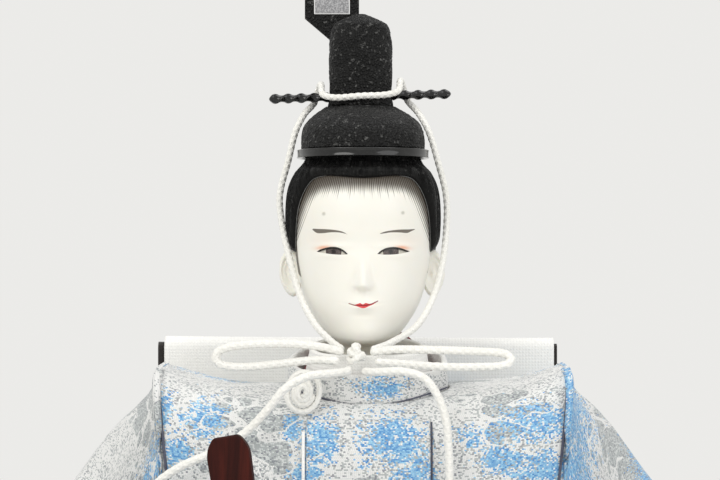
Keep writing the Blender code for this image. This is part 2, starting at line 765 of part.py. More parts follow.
def add_belt():
    """Leather belt round the waist."""
    def belt_ring(margin, height):
        front = []
        back = []
        for across in shares(CHEST_COLUMNS, -1.0, 1.0):
            x = across * (CHEST_HALF_WIDTH + margin)
            slack = CHEST_SIDE_SLACK * abs(across) ** 3
            front.append(Vector((x, -(GAP / 2 + CHEST_FRONT - slack + margin), height)))
            back.append(Vector((x, GAP / 2 + CHEST_BACK - slack + margin, height)))
        return front + back[::-1]

    heights = (WAIST_HEIGHT, WAIST_HEIGHT + BELT_HEIGHT)
    outer = [belt_ring(GAP + BELT_WALL, height) for height in heights]
    inner = [belt_ring(GAP, height) for height in heights]
    shell("belt", outer, inner, "belt_leather", "trunk")


# Lap, skirt, hakama and sash

def lap_point(x_share, turn, inset, low, puff=0.0):
    """A point of the domed lap: turn is 0 at the front hem and 1 at the waist."""
    angle = turn * math.pi / 2
    forward = max(math.cos(angle), 0.0) ** (2 / LAP_POWER)
    rise = math.sin(angle) ** (2 / LAP_POWER)
    slope = (1 - min(abs(x_share), 1.0) ** LAP_SIDE_POWER) ** (1 / LAP_SIDE_POWER)
    fold = FOLD_DEPTH * math.cos(FOLD_COUNT * x_share * math.pi) * forward ** 2 * slope
    reach = (LAP_REACH - inset + fold) * (LAP_CORNER_SHARE + (1 - LAP_CORNER_SHARE) * slope)
    height = low + (LAP_HEIGHT - low - inset) * rise * slope
    puff_top = SKIRT_HEM * HAKAMA_PUFF_SHARE
    bulge = puff * math.sin(math.pi * min(max((puff_top - height) / puff_top, 0.0), 1.0)) ** 2
    bulge *= slope ** 0.5
    return Vector((
        x_share * (LAP_HALF_WIDTH - inset),
        -(CHEST_FRONT + GAP * 2 + reach * forward + bulge),
        height,
    ))


def turns_at(heights, low, inset):
    """The turns at which the middle of a layer of the lap has these heights."""
    return [
        math.asin(min((height - low) / (LAP_HEIGHT - low - inset), 1.0) ** (LAP_POWER / 2)) / (math.pi / 2)
        for height in heights
    ]


def lap_columns(side):
    """Places across one half of the lap, from the parting to the side."""
    parting = HAKAMA_PARTING / LAP_HALF_WIDTH
    columns = [parting + (1 - parting) * share ** 0.8 for share in shares(11)]
    return columns if side > 0 else [-column for column in reversed(columns)]


def lap_sheet(name, columns, turns, inset, wall, low, look, puff=0.0):
    """A layer of cloth over the lap."""
    outer = [[lap_point(x, turn, inset, low, puff) for x in columns] for turn in turns]
    inner = [[lap_point(x, turn, inset + wall, low, puff) for x in columns] for turn in turns]
    return sheet(name, outer, inner, look, "trunk")


def add_lap():
    """Skirt of the robe, its hem band, the two hakama legs and the block under them."""
    both = lap_columns(-1) + lap_columns(1)
    hem_turns = turns_at(shares(4, SKIRT_HEM, RAN_TOP), SKIRT_HEM, 0)
    upper_turns = shares(7, hem_turns[-1], 1.0)[1:]
    lap_sheet("robe_skirt", both, hem_turns + upper_turns, 0, ROBE_WALL, SKIRT_HEM, "brocade")
    lap_sheet("robe_hem_band", both[2:-2], hem_turns, -GAP - RAN_WALL, RAN_WALL, SKIRT_HEM, "brocade")
    under = ROBE_WALL + GAP
    levels = [HAKAMA_HEM + (SKIRT_HEM - HAKAMA_HEM) * share for share in (0.0, 0.2, 0.4, 0.6, 0.8, 1.0)]
    turns = turns_at(levels, HAKAMA_HEM, under) + hem_turns[-1:] + upper_turns
    for side, hand in (("right", -1), ("left", 1)):
        columns = lap_columns(hand)
        lap_sheet("hakama_" + side, columns, turns, under, HAKAMA_WALL, HAKAMA_HEM,
                  "white_brocade", HAKAMA_PUFF)
        rows = []
        for inset in (under, under + HAKAMA_WALL):
            hem = [lap_point(x, 0, inset, HAKAMA_HEM, HAKAMA_PUFF) for x in columns]
            rows.append([[Vector((point.x, point.y, height)) for point in hem]
                         for height in (LINING_HEM, HAKAMA_HEM - GAP)])
        sheet("hakama_lining_" + side, rows[0], rows[1], "red_silk", "trunk")
    inside = under + HAKAMA_WALL + GAP + FOLD_DEPTH + BLOCK_SLACK
    block_low = BOARD_HEIGHT + GAP
    half = len(both) // 2
    columns = both[2:half:2] + both[half:-2:2]
    turns = hem_turns[-1:] + upper_turns
    outer = [[lap_point(x, turn, inside, block_low) for x in columns] for turn in turns]
    inner = [[Vector((point.x, point.y, block_low)) for point in row] for row in outer]
    sheet("leg_block", outer, inner, "straw", "trunk")


def add_sash():
    """Flat sash that hangs from the belt over the lap."""
    edge = SASH_HALF_WIDTH / LAP_HALF_WIDTH
    columns = shares(5, -edge, edge)
    turns = turns_at(shares(4, SKIRT_HEM, RAN_TOP), SKIRT_HEM, 0)
    turns += shares(7, turns[-1], 1.0)[1:]
    top_lift = GAP + FOLD_DEPTH / 2
    hem_lift = GAP * 2 + RAN_WALL + FOLD_DEPTH / 2

    def sash_point(x, turn, wall):
        lift = hem_lift + (top_lift - hem_lift) * soft_step((turn - 0.35) / 0.35)
        return lap_point(x, turn, -lift - wall, SKIRT_HEM)

    outer = [[sash_point(x, turn, THIN_CLOTH) for x in columns] for turn in turns]
    inner = [[sash_point(x, turn, 0.0) for x in columns] for turn in turns]
    sheet("hirao_sash", outer, inner, "sash_silk", "trunk")


# Sleeves, arms and hands

SLEEVE_TOP_SHARES = (
    (0.00, 0.395, 0.000, 0.985),
    (0.25, 0.553, -0.061, 0.787),
    (0.50, 0.684, -0.245, 0.610),
    (0.75, 0.540, -0.640, 0.550),
    (1.00, 0.276, -0.857, 0.545),
)
SLEEVE_FOOT_SHARES = (
    (0.00, 0.372, 0.000, 0.585),
    (0.25, 0.737, 0.020, 0.300),
    (0.50, 0.990, -0.225, 0.040),
    (0.75, 0.850, -0.800, 0.010),
    (1.00, 0.580, -0.985, 0.060),
)
SLEEVE_SECTION_SHARES = (
    (0.00, 90.0, 1.00, 4.0),
    (0.25, 62.0, 0.86, 3.0),
    (0.50, 5.0, 0.62, 2.6),
    (0.75, -42.0, 0.48, 2.6),
    (1.00, -62.0, 0.42, 2.8),
)


def sleeve_place(table, share):
    """A place on the top or foot line of a sleeve, for the +X side."""
    x_share, y_share, z_share = read_table(table, share)
    return Vector((
        x_share * SLEEVE_SPREAD,
        y_share * CUFF_FORWARD,
        SLEEVE_FLOOR + z_share * SHOULDER_HEIGHT,
    ))


def sleeve_ring(hand, share, inset):
    """One ring of a sleeve: upright at the shoulder seam, turning forward to the cuff."""
    beyond = max(share - 1.0, 0.0)
    share = min(share, 1.0)
    top = sleeve_place(SLEEVE_TOP_SHARES, share)
    foot = sleeve_place(SLEEVE_FOOT_SHARES, share)
    turn, depth_share, power = read_table(SLEEVE_SECTION_SHARES, share)
    if beyond:
        earlier = sleeve_place(SLEEVE_TOP_SHARES, 0.96)
        heading = (top - earlier).normalized() * beyond * CUFF_FORWARD
        heading.z = 0
        top += heading
        foot += heading
    outward = Vector((math.cos(math.radians(turn)), math.sin(math.radians(turn)), 0))
    along = (top - foot) / 2
    shrink = 1 - inset / along.length
    centre = (top + foot) / 2
    if share < 0.25:
        back_shift = (CHEST_BACK - CHEST_FRONT) / 2 * (1 - share / 0.25)
        centre.y += back_shift
    half = outward * (SLEEVE_DEPTH * depth_share - inset)
    points = oval(centre, half, along * shrink, power, SLEEVE_SIDES)
    if share == 0.0:
        for point in points:
            point.x = chest_half_width(point.z) + GAP
    if hand < 0:
        for point in points:
            point.x = -point.x
    return points


def add_sleeves():
    """Wide hollow sleeves and the edges of the two robes worn under them."""
    for side, hand in (("right", -1), ("left", 1)):
        stations = shares(13)
        outer = [sleeve_ring(hand, share, 0) for share in stations]
        inner = [sleeve_ring(hand, share, ROBE_WALL) for share in stations]
        shell("sleeve_" + side, outer, inner, "brocade", "trunk")
        inset = ROBE_WALL + GAP
        end = 1.0
        for layer, look in (("white", "white_silk"), ("red", "red_silk")):
            end += INNER_SLEEVE_STEP / CUFF_FORWARD
            ends = stations[-INNER_SLEEVE_STATIONS:] + [end]
            outer = [sleeve_ring(hand, share, inset) for share in ends]
            inner = [sleeve_ring(hand, share, inset + INNER_SLEEVE_WALL) for share in ends]
            shell("under_sleeve_" + layer + "_" + side, outer, inner, look, "trunk")
            inset += INNER_SLEEVE_WALL + GAP


def arm_start(hand):
    """Where an arm meets the side of the straw trunk."""
    top = sleeve_place(SLEEVE_TOP_SHARES, 0.0)
    foot = sleeve_place(SLEEVE_FOOT_SHARES, 0.0)
    place = top + (foot - top) * ARM_HANG_SHARE
    place.x = hand * (chest_half_width(place.z + ARM_RADIUS) - ROBE_WALL)
    return place


def add_arms():
    """Wrapped wire arms inside the sleeves, from the trunk to the wrists."""
    for side, hand, fist in (("right", -1, FIST), ("left", 1, LEFT_FIST)):
        rings = []
        for share in shares(9):
            reach = share * 0.96
            top = sleeve_place(SLEEVE_TOP_SHARES, reach)
            foot = sleeve_place(SLEEVE_FOOT_SHARES, reach)
            hang = ARM_HANG_SHARE + (WRIST_HANG_SHARE - ARM_HANG_SHARE) * share
            place = top + (foot - top) * hang
            place.x *= hand
            if share == 0:
                place = arm_start(hand)
            later = min(reach + 0.04, 1.0)
            sooner = max(reach - 0.04, 0.0)
            heading = sleeve_place(SLEEVE_TOP_SHARES, later) - sleeve_place(SLEEVE_TOP_SHARES, sooner)
            heading.x *= hand
            heading.normalize()
            if share == 0:
                heading = Vector((hand, 0, 0))
            radius = ARM_RADIUS + (WRIST_RADIUS - ARM_RADIUS) * soft_step((share - 0.4) / 0.5)
            across = heading.cross(UP).normalized()
            rings.append(oval(place, across * radius, across.cross(heading) * radius, 2, 10))
        end = wrist_ring(hand, fist)
        nearest = min(range(10), key=lambda index: (end[index] - rings[-1][0]).length)
        end = end[nearest:] + end[:nearest]
        if (end[1] - rings[-1][1]).length > (end[-1] - rings[-1][1]).length:
            end = [end[0]] + end[:0:-1]
        rings.append(end)
        capped("arm_" + side, rings, "wrapped_wire", "trunk")


def fist_frame(hand):
    """Axes of a fist: outward to its wrist, across the palm, and along its grip."""
    grip = SHAKU_AXIS if hand < 0 else LEFT_FIST_AXIS
    outward = Vector((hand, *WRIST_TURN_SHARES))
    outward = (outward - grip * outward.dot(grip)).normalized()
    return outward, grip.cross(outward), grip


def held_width():
    """Width of the baton where the fist holds it."""
    return SHAKU_FOOT_WIDTH + (SHAKU_TOP_WIDTH - SHAKU_FOOT_WIDTH) * SHAKU_HELD / SHAKU_LENGTH


def wrist_ring(hand, fist):
    """The end of the arm, flat against the heel of the hand."""
    outward, across, grip = fist_frame(hand)
    place = fist + outward * (held_width() / 2 + PALM_HALF_LENGTH * 2 + GAP)
    return oval(place, across * WRIST_RADIUS, grip * WRIST_RADIUS, 2, 10)


def add_hands():
    """Small white fists: a palm, four curled fingers and a thumb, round an open grip."""
    for side, hand, fist in (("right", -1, FIST), ("left", 1, LEFT_FIST)):
        outward, across, grip = fist_frame(hand)
        reach_side = held_width() / 2 + FINGER_RADIUS
        reach_front = SHAKU_THICKNESS / 2 + FINGER_RADIUS
        palm_centre = fist + outward * (held_width() / 2 + PALM_HALF_LENGTH)
        rings = []
        for share in shares(4, -1.0, 1.0):
            taper = 1 - PALM_TAPER_SHARE * soft_step((share + 1) / 2 * (1 + PALM_EASE_SHARE) - PALM_EASE_SHARE)
            centre = palm_centre + outward * (PALM_HALF_LENGTH * share)
            rings.append(oval(centre, across * (PALM_HALF_DEPTH * taper), grip * (PALM_HALF_WIDTH * taper), 2.4, 10))
        palm = capped("hand_" + side, rings, "face_white", "trunk")
        for number in range(FINGER_COUNT + 1):
            thumb = number == FINGER_COUNT
            level = FINGER_PITCH * (number - (FINGER_COUNT - 1) / 2)
            start, end = (20, 235)
            if thumb:
                level = FINGER_PITCH * (FINGER_COUNT / 2 + 0.1)
                start, end = (-20, -140)
            rings = []
            for share in shares(5):
                angle = math.radians(start + (end - start) * share)
                place = fist + grip * level
                place += outward * (reach_side * math.cos(angle)) + across * (reach_front * math.sin(angle))
                radial = (outward * math.cos(angle) * reach_front + across * math.sin(angle) * reach_side).normalized()
                thick = FINGER_RADIUS * (1 - FINGER_TAPER_SHARE * share)
                rings.append(oval(place, radial * thick, grip * thick, 2, 5))
            finger = capped("finger_{}_{}_tool".format(number, side), rings, "face_white", "trunk")
            change(palm, finger, "UNION")
        grip_slot = shaku_solid("grip_{}_cutter".format(side), GAP, fist, outward, across, grip, "trunk")
        change(palm, grip_slot, "DIFFERENCE")


def shaku_solid(name, margin, fist, outward, across, grip, body):
    """The baton's outline, tapered and rounded at the top, or a cutter of its size."""
    rings = []
    foot = fist - grip * SHAKU_HELD
    levels = [0.0, 0.2, 0.5, 0.8, 0.93, 0.97, 0.99, 1.0]
    for level in levels:
        width = SHAKU_FOOT_WIDTH + (SHAKU_TOP_WIDTH - SHAKU_FOOT_WIDTH) * level
        rounding = max(level - 0.93, 0.0) / 0.07
        width *= 1 - 0.45 * rounding ** 2.5
        half = width / 2 + margin
        thick = SHAKU_THICKNESS / 2 + margin
        centre = foot + grip * (SHAKU_LENGTH * level)
        rings.append(oval(centre, outward * half, across * thick, 7, 16))
    return capped(name, rings, "shaku_wood", body)


def add_shaku():
    """Wooden baton held upright in the right fist."""
    outward, across, grip = fist_frame(-1)
    shaku_solid("shaku", 0.0, FIST, outward, across, grip, "shaku")


# Train

def add_train():
    """Folded train that stands behind the shoulders, with its dark lining inside the fold."""
    def fold_point(x, share, inset):
        """Up the front leaf, over the fold, down the back leaf and out along the floor."""
        half = TRAIN_DEPTH / 2
        middle = TRAIN_FRONT + half
        if share <= 0.3:
            return Vector((x, TRAIN_FRONT + inset, TRAIN_FLOOR + (TRAIN_TOP - half - TRAIN_FLOOR) * share / 0.3))
        if share <= 0.5:
            angle = math.pi * (1 - (share - 0.3) / 0.2)
            radius = half - inset
            return Vector((x, middle + radius * math.cos(angle), TRAIN_TOP - half + radius * math.sin(angle)))
        bend = TRAIN_DEPTH * 2
        if share <= 0.8:
            low = TRAIN_FLOOR + bend
            return Vector((x, middle + half - inset,
                           TRAIN_TOP - half + (low - TRAIN_TOP + half) * (share - 0.5) / 0.3))
        if share <= 0.9:
            angle = math.pi * (1 + 0.5 * (share - 0.8) / 0.1)
            radius = bend + inset
            centre_y = middle + half + bend
            return Vector((x, centre_y + radius * math.cos(angle), TRAIN_FLOOR + bend + radius * math.sin(angle)))
        reach = TRAIN_TAIL * (share - 0.9) / 0.1
        return Vector((x, middle + half + bend + reach, TRAIN_FLOOR - inset))

    steps = [0.0, 0.3] + shares(5, 0.33, 0.47) + [0.5, 0.8] + shares(4, 0.825, 0.9) + [1.0]
    lift = UP * (TRAIN_WALL + THIN_CLOTH + GAP)
    layers = (
        ("train_cloth", TRAIN_LEFT, TRAIN_RIGHT, 0.0, TRAIN_WALL, "white_silk"),
        ("train_lining", TRAIN_LEFT - TRAIN_SHOW_LEFT, TRAIN_RIGHT + TRAIN_SHOW_RIGHT,
         TRAIN_WALL + GAP, THIN_CLOTH, "dark_silk"),
    )
    for name, left, right, inset, wall, look in layers:
        columns = shares(3, left, right)
        outer = [[fold_point(x, share, inset) + lift for x in columns] for share in steps]
        inner = [[fold_point(x, share, inset + wall) + lift for x in columns] for share in steps]
        sheet(name, outer, inner, look, "trunk")


# Sword

def sword_ring(distance, half_width, half_depth, power, count):
    """A ring across the sword's axis, a distance in front of the named point."""
    centre = SWORD_POINT + SWORD_AXIS * distance
    side = SWORD_AXIS.cross(UP).normalized()
    top = side.cross(SWORD_AXIS).normalized()
    return oval(centre, side * half_depth, top * half_width, power, count)


def add_scabbard():
    """Lacquered scabbard with its blade slot, gilt end cap and two hanging bands."""
    rear = SCABBARD_MOUTH - SCABBARD_LENGTH
    cap_start = rear + SCABBARD_CAP
    body_rings = [sword_ring(place, SCABBARD_HALF_WIDTH, SCABBARD_HALF_DEPTH, 2.2, 16)
                  for place in (cap_start + GAP, SCABBARD_MOUTH)]
    scabbard = capped("scabbard", body_rings, "black_lacquer", "trunk")
    slot_foot = SCABBARD_MOUTH - BLADE_LENGTH - GAP
    slot = [sword_ring(place, BLADE_WIDTH / 2 + GAP, BLADE_THICKNESS / 2 + GAP, 4, 12)
            for place in (slot_foot, SCABBARD_MOUTH + OVERRUN)]
    change(scabbard, capped("blade_slot_cutter", slot, "steel", "trunk"), "DIFFERENCE")
    swell = HANGER_WALL / 2
    cap_rings = [
        sword_ring(rear, SCABBARD_HALF_WIDTH * 0.55, SCABBARD_HALF_DEPTH * 0.55, 2.2, 16),
        sword_ring(rear + SCABBARD_CAP * 0.2, SCABBARD_HALF_WIDTH, SCABBARD_HALF_DEPTH, 2.2, 16),
        sword_ring(cap_start, SCABBARD_HALF_WIDTH + swell, SCABBARD_HALF_DEPTH + swell, 2.2, 16),
    ]
    capped("scabbard_cap", cap_rings, "gilt_metal", "trunk")
    for name, place in (("front", HANGER_FRONT), ("rear", HANGER_REAR)):
        ends = (place - HANGER_WIDTH / 2, place + HANGER_WIDTH / 2)
        outer = [sword_ring(end, SCABBARD_HALF_WIDTH + GAP + HANGER_WALL,
                            SCABBARD_HALF_DEPTH + GAP + HANGER_WALL, 2.2, 16) for end in ends]
        inner = [sword_ring(end, SCABBARD_HALF_WIDTH + GAP, SCABBARD_HALF_DEPTH + GAP, 2.2, 16)
                 for end in ends]
        band = shell("scabbard_hanger_" + name, outer, inner, "gilt_metal", "trunk")
        centre = SWORD_POINT + SWORD_AXIS * place
        inner_face = centre.x - SCABBARD_HALF_DEPTH - GAP - HANGER_WALL / 2
        belt_face = CHEST_HALF_WIDTH + GAP * 3 + BELT_WALL
        strap_top = min(centre.z + SCABBARD_HALF_WIDTH, WAIST_HEIGHT + BELT_HEIGHT)
        side = Vector((0, HANGER_WIDTH / 2, 0))
        top = Vector((0, 0, HANGER_WALL))
        rings = [oval(Vector((x, centre.y, (strap_top + centre.z) / 2)), side, top, 6, 8)
                 for x in (belt_face, inner_face)]
        change(band, capped("strap_{}_tool".format(name), rings, "gilt_metal", "trunk"), "UNION")


def add_sword():
    """Hilt, guard and blade, drawn out of the scabbard towards the front."""
    start = SCABBARD_MOUTH + GAP
    guard_end = start + GUARD_THICKNESS
    guard = [sword_ring(place, GUARD_HALF_WIDTH, GUARD_HALF_WIDTH * 0.72, 3.2, 16)
             for place in (start, guard_end)]
    capped("sword_guard", guard, "gilt_metal", "sword")
    blade = []
    for share, taper in ((0.0, 0.35), (0.06, 0.8), (0.12, 1.0), (1.0, 1.0)):
        place = start - GAP * 2 - (BLADE_LENGTH - GAP * 3) * (1 - share)
        blade.append(sword_ring(place + GAP, BLADE_WIDTH / 2 * taper, BLADE_THICKNESS / 2, 3, 12))
    capped("sword_blade", blade, "steel", "sword")
    hilt_start = guard_end + GAP
    hilt = []
    for share in shares(7):
        waist = 1 - 0.14 * math.sin(math.pi * share)
        hilt.append(sword_ring(hilt_start + HILT_LENGTH * share,
                               HILT_HALF_WIDTH * waist, HILT_HALF_DEPTH * waist, 2.4, 14))
    capped("sword_hilt", hilt, "rayskin", "sword")
    cap_start = hilt_start + HILT_LENGTH + GAP
    cap = []
    for share, scale in ((0.0, 1.12), (0.6, 1.16), (1.0, 0.8)):
        cap.append(sword_ring(cap_start + HILT_HALF_WIDTH * share,
                              HILT_HALF_WIDTH * scale, HILT_HALF_DEPTH * scale, 2.4, 14))
    capped("sword_pommel", cap, "gilt_metal", "sword")


# Head, eyes and hair

HEAD_SHARES = (
    (-0.345, 0.385, 0.333, 0.320),
    (-0.120, 0.385, 0.333, 0.320),
    (-0.020, 0.390, 0.400, 0.330),
    (0.000, 0.400, 0.790, 0.340),
    (0.030, 0.520, 0.915, 0.370),
    (0.110, 0.705, 0.945, 0.420),
    (0.200, 0.845, 0.955, 0.580),
    (0.350, 0.955, 0.965, 0.850),
    (0.500, 1.000, 0.965, 0.980),
    (0.640, 0.990, 1.000, 1.000),
    (0.770, 0.890, 0.930, 0.930),
    (0.860, 0.720, 0.730, 0.770),
    (0.950, 0.460, 0.480, 0.520),
    (1.000, 0.120, 0.140, 0.140),
)


def head_radius(angle, height):
    """Distance of the head's surface from the neck axis; angle 0 faces the front."""
    share = (height - CHIN_HEIGHT) / (SKULL_TOP - CHIN_HEIGHT)
    width, front, back = read_table(HEAD_SHARES, share)
    half_width = width * HEAD_HALF_WIDTH
    half_depth = front * HEAD_FRONT if math.cos(angle) > 0 else back * HEAD_BACK
    power = 2.0 + 0.15 * soft_step(share * 4)
    radius = (abs(math.sin(angle) / half_width) ** power
              + abs(math.cos(angle) / half_depth) ** power) ** (-1 / power)
    if math.cos(angle) > 0:
        x = radius * math.sin(angle)
        radius += nose_lift(x, height) + lip_lift(x, height)
    return radius


def nose_lift(x, height):
    """Ridge of the nose, ending in a small rounded tip."""
    rise = (height - NOSE_HEIGHT) / (EYE_HEIGHT - NOSE_HEIGHT)
    along = math.exp(-(rise / 0.55) ** 2) if rise > 0 else math.exp(-(rise / 0.16) ** 2)
    across = math.exp(-(x / NOSE_HALF_WIDTH) ** 2)
    return NOSE_LENGTH * along * across


def lip_lift(x, height):
    """Small fullness of the mouth."""
    mouth_half_width = NOSE_HALF_WIDTH * 1.8
    lip_half_height = LIP_FULLNESS * 3
    return LIP_FULLNESS * math.exp(-(x / mouth_half_width) ** 2 - ((height - LIP_HEIGHT) / lip_half_height) ** 2)


def head_ring(height, count):
    """A ring of the head at one height."""
    ring_points = []
    for index in range(count):
        angle = math.tau * index / count - math.pi
        angle -= 0.28 * math.sin(angle)
        radius = head_radius(angle, height)
        ring_points.append(Vector((radius * math.sin(angle), -radius * math.cos(angle), height)))
    return ring_points


def add_head():
    """Head with neck and ears, bored for the peg and cut for the eyes."""
    span = SKULL_TOP - CHIN_HEIGHT
    steps = (-0.12, -0.02, 0.0, 0.03, 0.08, 0.13, 0.165, 0.19, 0.22, 0.26, 0.28, 0.34, 0.42,
             0.53, 0.66, 0.77, 0.86, 0.93, 0.98)
    heights = [NECK_SEAT_HEIGHT + GAP * 2] + [CHIN_HEIGHT + span * step for step in steps]
    head = capped("head", [head_ring(height, 26) for height in heights], "face_white", "head")
    for side, hand in (("right", -1), ("left", 1)):
        rings = []
        for share in shares(4, -1.0, 1.0):
            size = math.sqrt(max(1 - share * share * 0.92, 0.0))
            centre = Vector((hand * (EAR_REACH - EAR_HALF_DEPTH * 0.8), EAR_THICKNESS * share + EAR_SETBACK, EAR_HEIGHT))
            rings.append(oval(centre, Vector((hand * EAR_HALF_DEPTH * size, 0, 0)),
                              UP * EAR_HALF_HEIGHT * size, 2, 12))
        change(head, capped("ear_{}_tool".format(side), rings, "face_white", "head"), "UNION")
    foot = Vector((0, 0, NECK_SEAT_HEIGHT - OVERRUN))
    end = Vector((0, 0, NECK_SEAT_HEIGHT + GAP + PEG_IN_HEAD + GAP))
    change(head, rod("head_bore_cutter", foot, end, PEG_RADIUS + GAP, 16, "face_white", "head"), "DIFFERENCE")
    for side, hand in (("right", -1), ("left", 1)):
        eye_solid("eye_{}".format(side), hand, 0.0)
        change(head, eye_solid("eye_{}_cutter".format(side), hand, GAP), "DIFFERENCE")


def eye_solid(name, hand, margin):
    """Almond eye set in the face, or a cutter of its size."""
    angle = math.asin(EYE_SPACING / HEAD_FRONT)
    radius = head_radius(angle, EYE_HEIGHT)
    face = Vector((hand * radius * math.sin(angle), -radius * math.cos(angle), EYE_HEIGHT))
    inward = Vector((-hand * math.sin(angle) * 0.7, 1, 0)).normalized()
    side = inward.cross(UP).normalized()
    rings = []
    reach = EYE_DEPTH + margin
    for share in (-0.32, -0.2, 0.2, 1.0):
        size = 0.62 if share == -0.32 else 1.0
        centre = face + inward * (EYE_DEPTH * share if share < 1 else reach)
        if margin and share == -0.32:
            centre -= inward * OVERRUN
        width = (EYE_HALF_WIDTH * size + margin)
        height = (EYE_HALF_HEIGHT * size + margin)
        rings.append(oval(centre, side * width, UP * height, 1.8, 14))
    return capped(name, rings, "eye_glass", "head")


HAIR_SHARES = (
    (0.00, 0.880, 0.700, 0.860),
    (0.20, 0.940, 0.820, 0.940),
    (0.40, 0.985, 0.900, 0.990),
    (0.56, 1.000, 0.960, 1.000),
    (0.72, 0.970, 1.000, 0.970),
    (0.83, 0.870, 0.945, 0.880),
    (0.89, 0.745, 0.775, 0.770),
    (0.95, 0.720, 0.750, 0.740),
    (1.00, 0.660, 0.690, 0.680),
)
HAIR_EDGE_SHARES = (
    (0.00, 1.00),
    (0.24, 1.00),
    (0.33, 0.82),
    (0.40, 0.48),
    (0.46, 0.470),
    (0.56, 0.460),
    (0.64, 0.16),
    (0.74, 0.03),
    (1.00, 0.00),
)


def hair_edge(angle):
    """Lower edge of the hair, from the front roll over the temples to the nape."""
    share = abs(angle) / math.pi
    level = read_table(HAIR_EDGE_SHARES, share)[0]
    return HAIR_NAPE_EDGE + (HAIR_FRONT_EDGE - HAIR_NAPE_EDGE) * level


def hair_radius(angle, height):
    """Distance of the hair's surface from the neck axis."""
    share = (height - HAIR_NAPE_EDGE) / (HAIR_TOP - HAIR_NAPE_EDGE)
    width, front, back = read_table(HAIR_SHARES, share)
    half_width = width * HAIR_HALF_WIDTH
    half_depth = front * HAIR_FRONT if math.cos(angle) > 0 else back * HAIR_BACK
    return ((math.sin(angle) / half_width) ** 2 + (math.cos(angle) / half_depth) ** 2) ** -0.5


def add_hair():
    """Hair as one thick cap over the skull, rolled at its edge."""
    count = 32
    levels = (0.0, 0.15, 0.35, 0.6, 0.8, 0.9, 1.0)
    outer = []
    inner = []
    for level in levels:
        outer_ring = []
        inner_ring = []
        for index in range(count):
            angle = math.tau * index / count - math.pi
            low = hair_edge(angle)
            height = low + (HAIR_TOP - low) * level
            surface = head_radius_plain(angle, height) + GAP
            thick = max(hair_radius(angle, height) - surface, THIN_CLOTH)
            roll = 1 - 0.45 * (1 - soft_step(level * 4))
            direction = Vector((math.sin(angle), -math.cos(angle), 0))
            outer_ring.append(direction * (surface + thick * roll) + UP * height)
            inner_ring.append(direction * surface + UP * height)
        outer.append(outer_ring)
        inner.append(inner_ring)
    hair = shell("hair", outer, inner, "hair_silk", "head")
    return hair


def head_radius_plain(angle, height):
    """The head's radius, kept outside the faceted skull between its rings."""
    return head_radius(angle, height) + HAIR_LINING


def add_neck_peg():
    """Wooden peg that joins the head to the trunk."""
    foot = NECK_SEAT_HEIGHT - PEG_IN_TRUNK
    end = NECK_SEAT_HEIGHT + GAP + PEG_IN_HEAD
    rings = []
    for height, radius in ((foot, PEG_RADIUS - PEG_TAPER * 2), (foot + PEG_TAPER * 4, PEG_RADIUS - PEG_TAPER),
                           (end - PEG_TAPER * 4, PEG_RADIUS), (end, PEG_RADIUS - PEG_TAPER * 2)):
        rings.append(oval(Vector((0, 0, height)), Vector((radius, 0, 0)), Vector((0, radius, 0)), 2, 14))
    capped("neck_peg", rings, "plain_wood", "neck")


# Crown

CAP_SHARES = (
    (0.00, 1.000, 1.000, 0.00),
    (0.35, 0.985, 0.960, 0.05),
    (0.58, 0.930, 0.890, 0.20),
    (0.78, 0.790, 0.770, 0.45),
    (1.00, 0.570, 0.520, 1.00),
)
KOJI_SHARES = (
    (0.00, 1.04, 1.04),
    (0.12, 0.98, 0.98),
    (0.40, 1.00, 1.00),
    (0.68, 0.99, 0.99),
    (0.84, 0.90, 0.90),
    (0.94, 0.68, 0.68),
    (1.00, 0.30, 0.30),
)


def cap_ring(share, margin):
    """A ring of the crown's low cap, drawing in and back to the foot of the koji."""
    width, depth, shift = read_table(CAP_SHARES, share)
    base = RIM_BASE + RIM_HEIGHT + GAP
    centre = Vector((KOJI_CENTRE_X * shift, RIM_CENTRE_Y + (KOJI_CENTRE_Y - RIM_CENTRE_Y) * shift,
                     base + CAP_HEIGHT * share))
    return oval(centre, Vector((CAP_HALF_WIDTH * width - margin, 0, 0)),
                Vector((0, CAP_HALF_DEPTH * depth - margin, 0)), 2.15, 24)


def koji_ring(share, margin, drop=0.0):
    """A ring of the tall rounded top of the crown."""
    width, depth = read_table(KOJI_SHARES, share)
    centre = Vector((KOJI_CENTRE_X, KOJI_CENTRE_Y, KOJI_BASE + KOJI_HEIGHT * share - drop))
    return oval(centre, Vector((KOJI_HALF_WIDTH * width - margin, 0, 0)),
                Vector((0, KOJI_HALF_DEPTH * depth - margin, 0)), 2.2, 18)


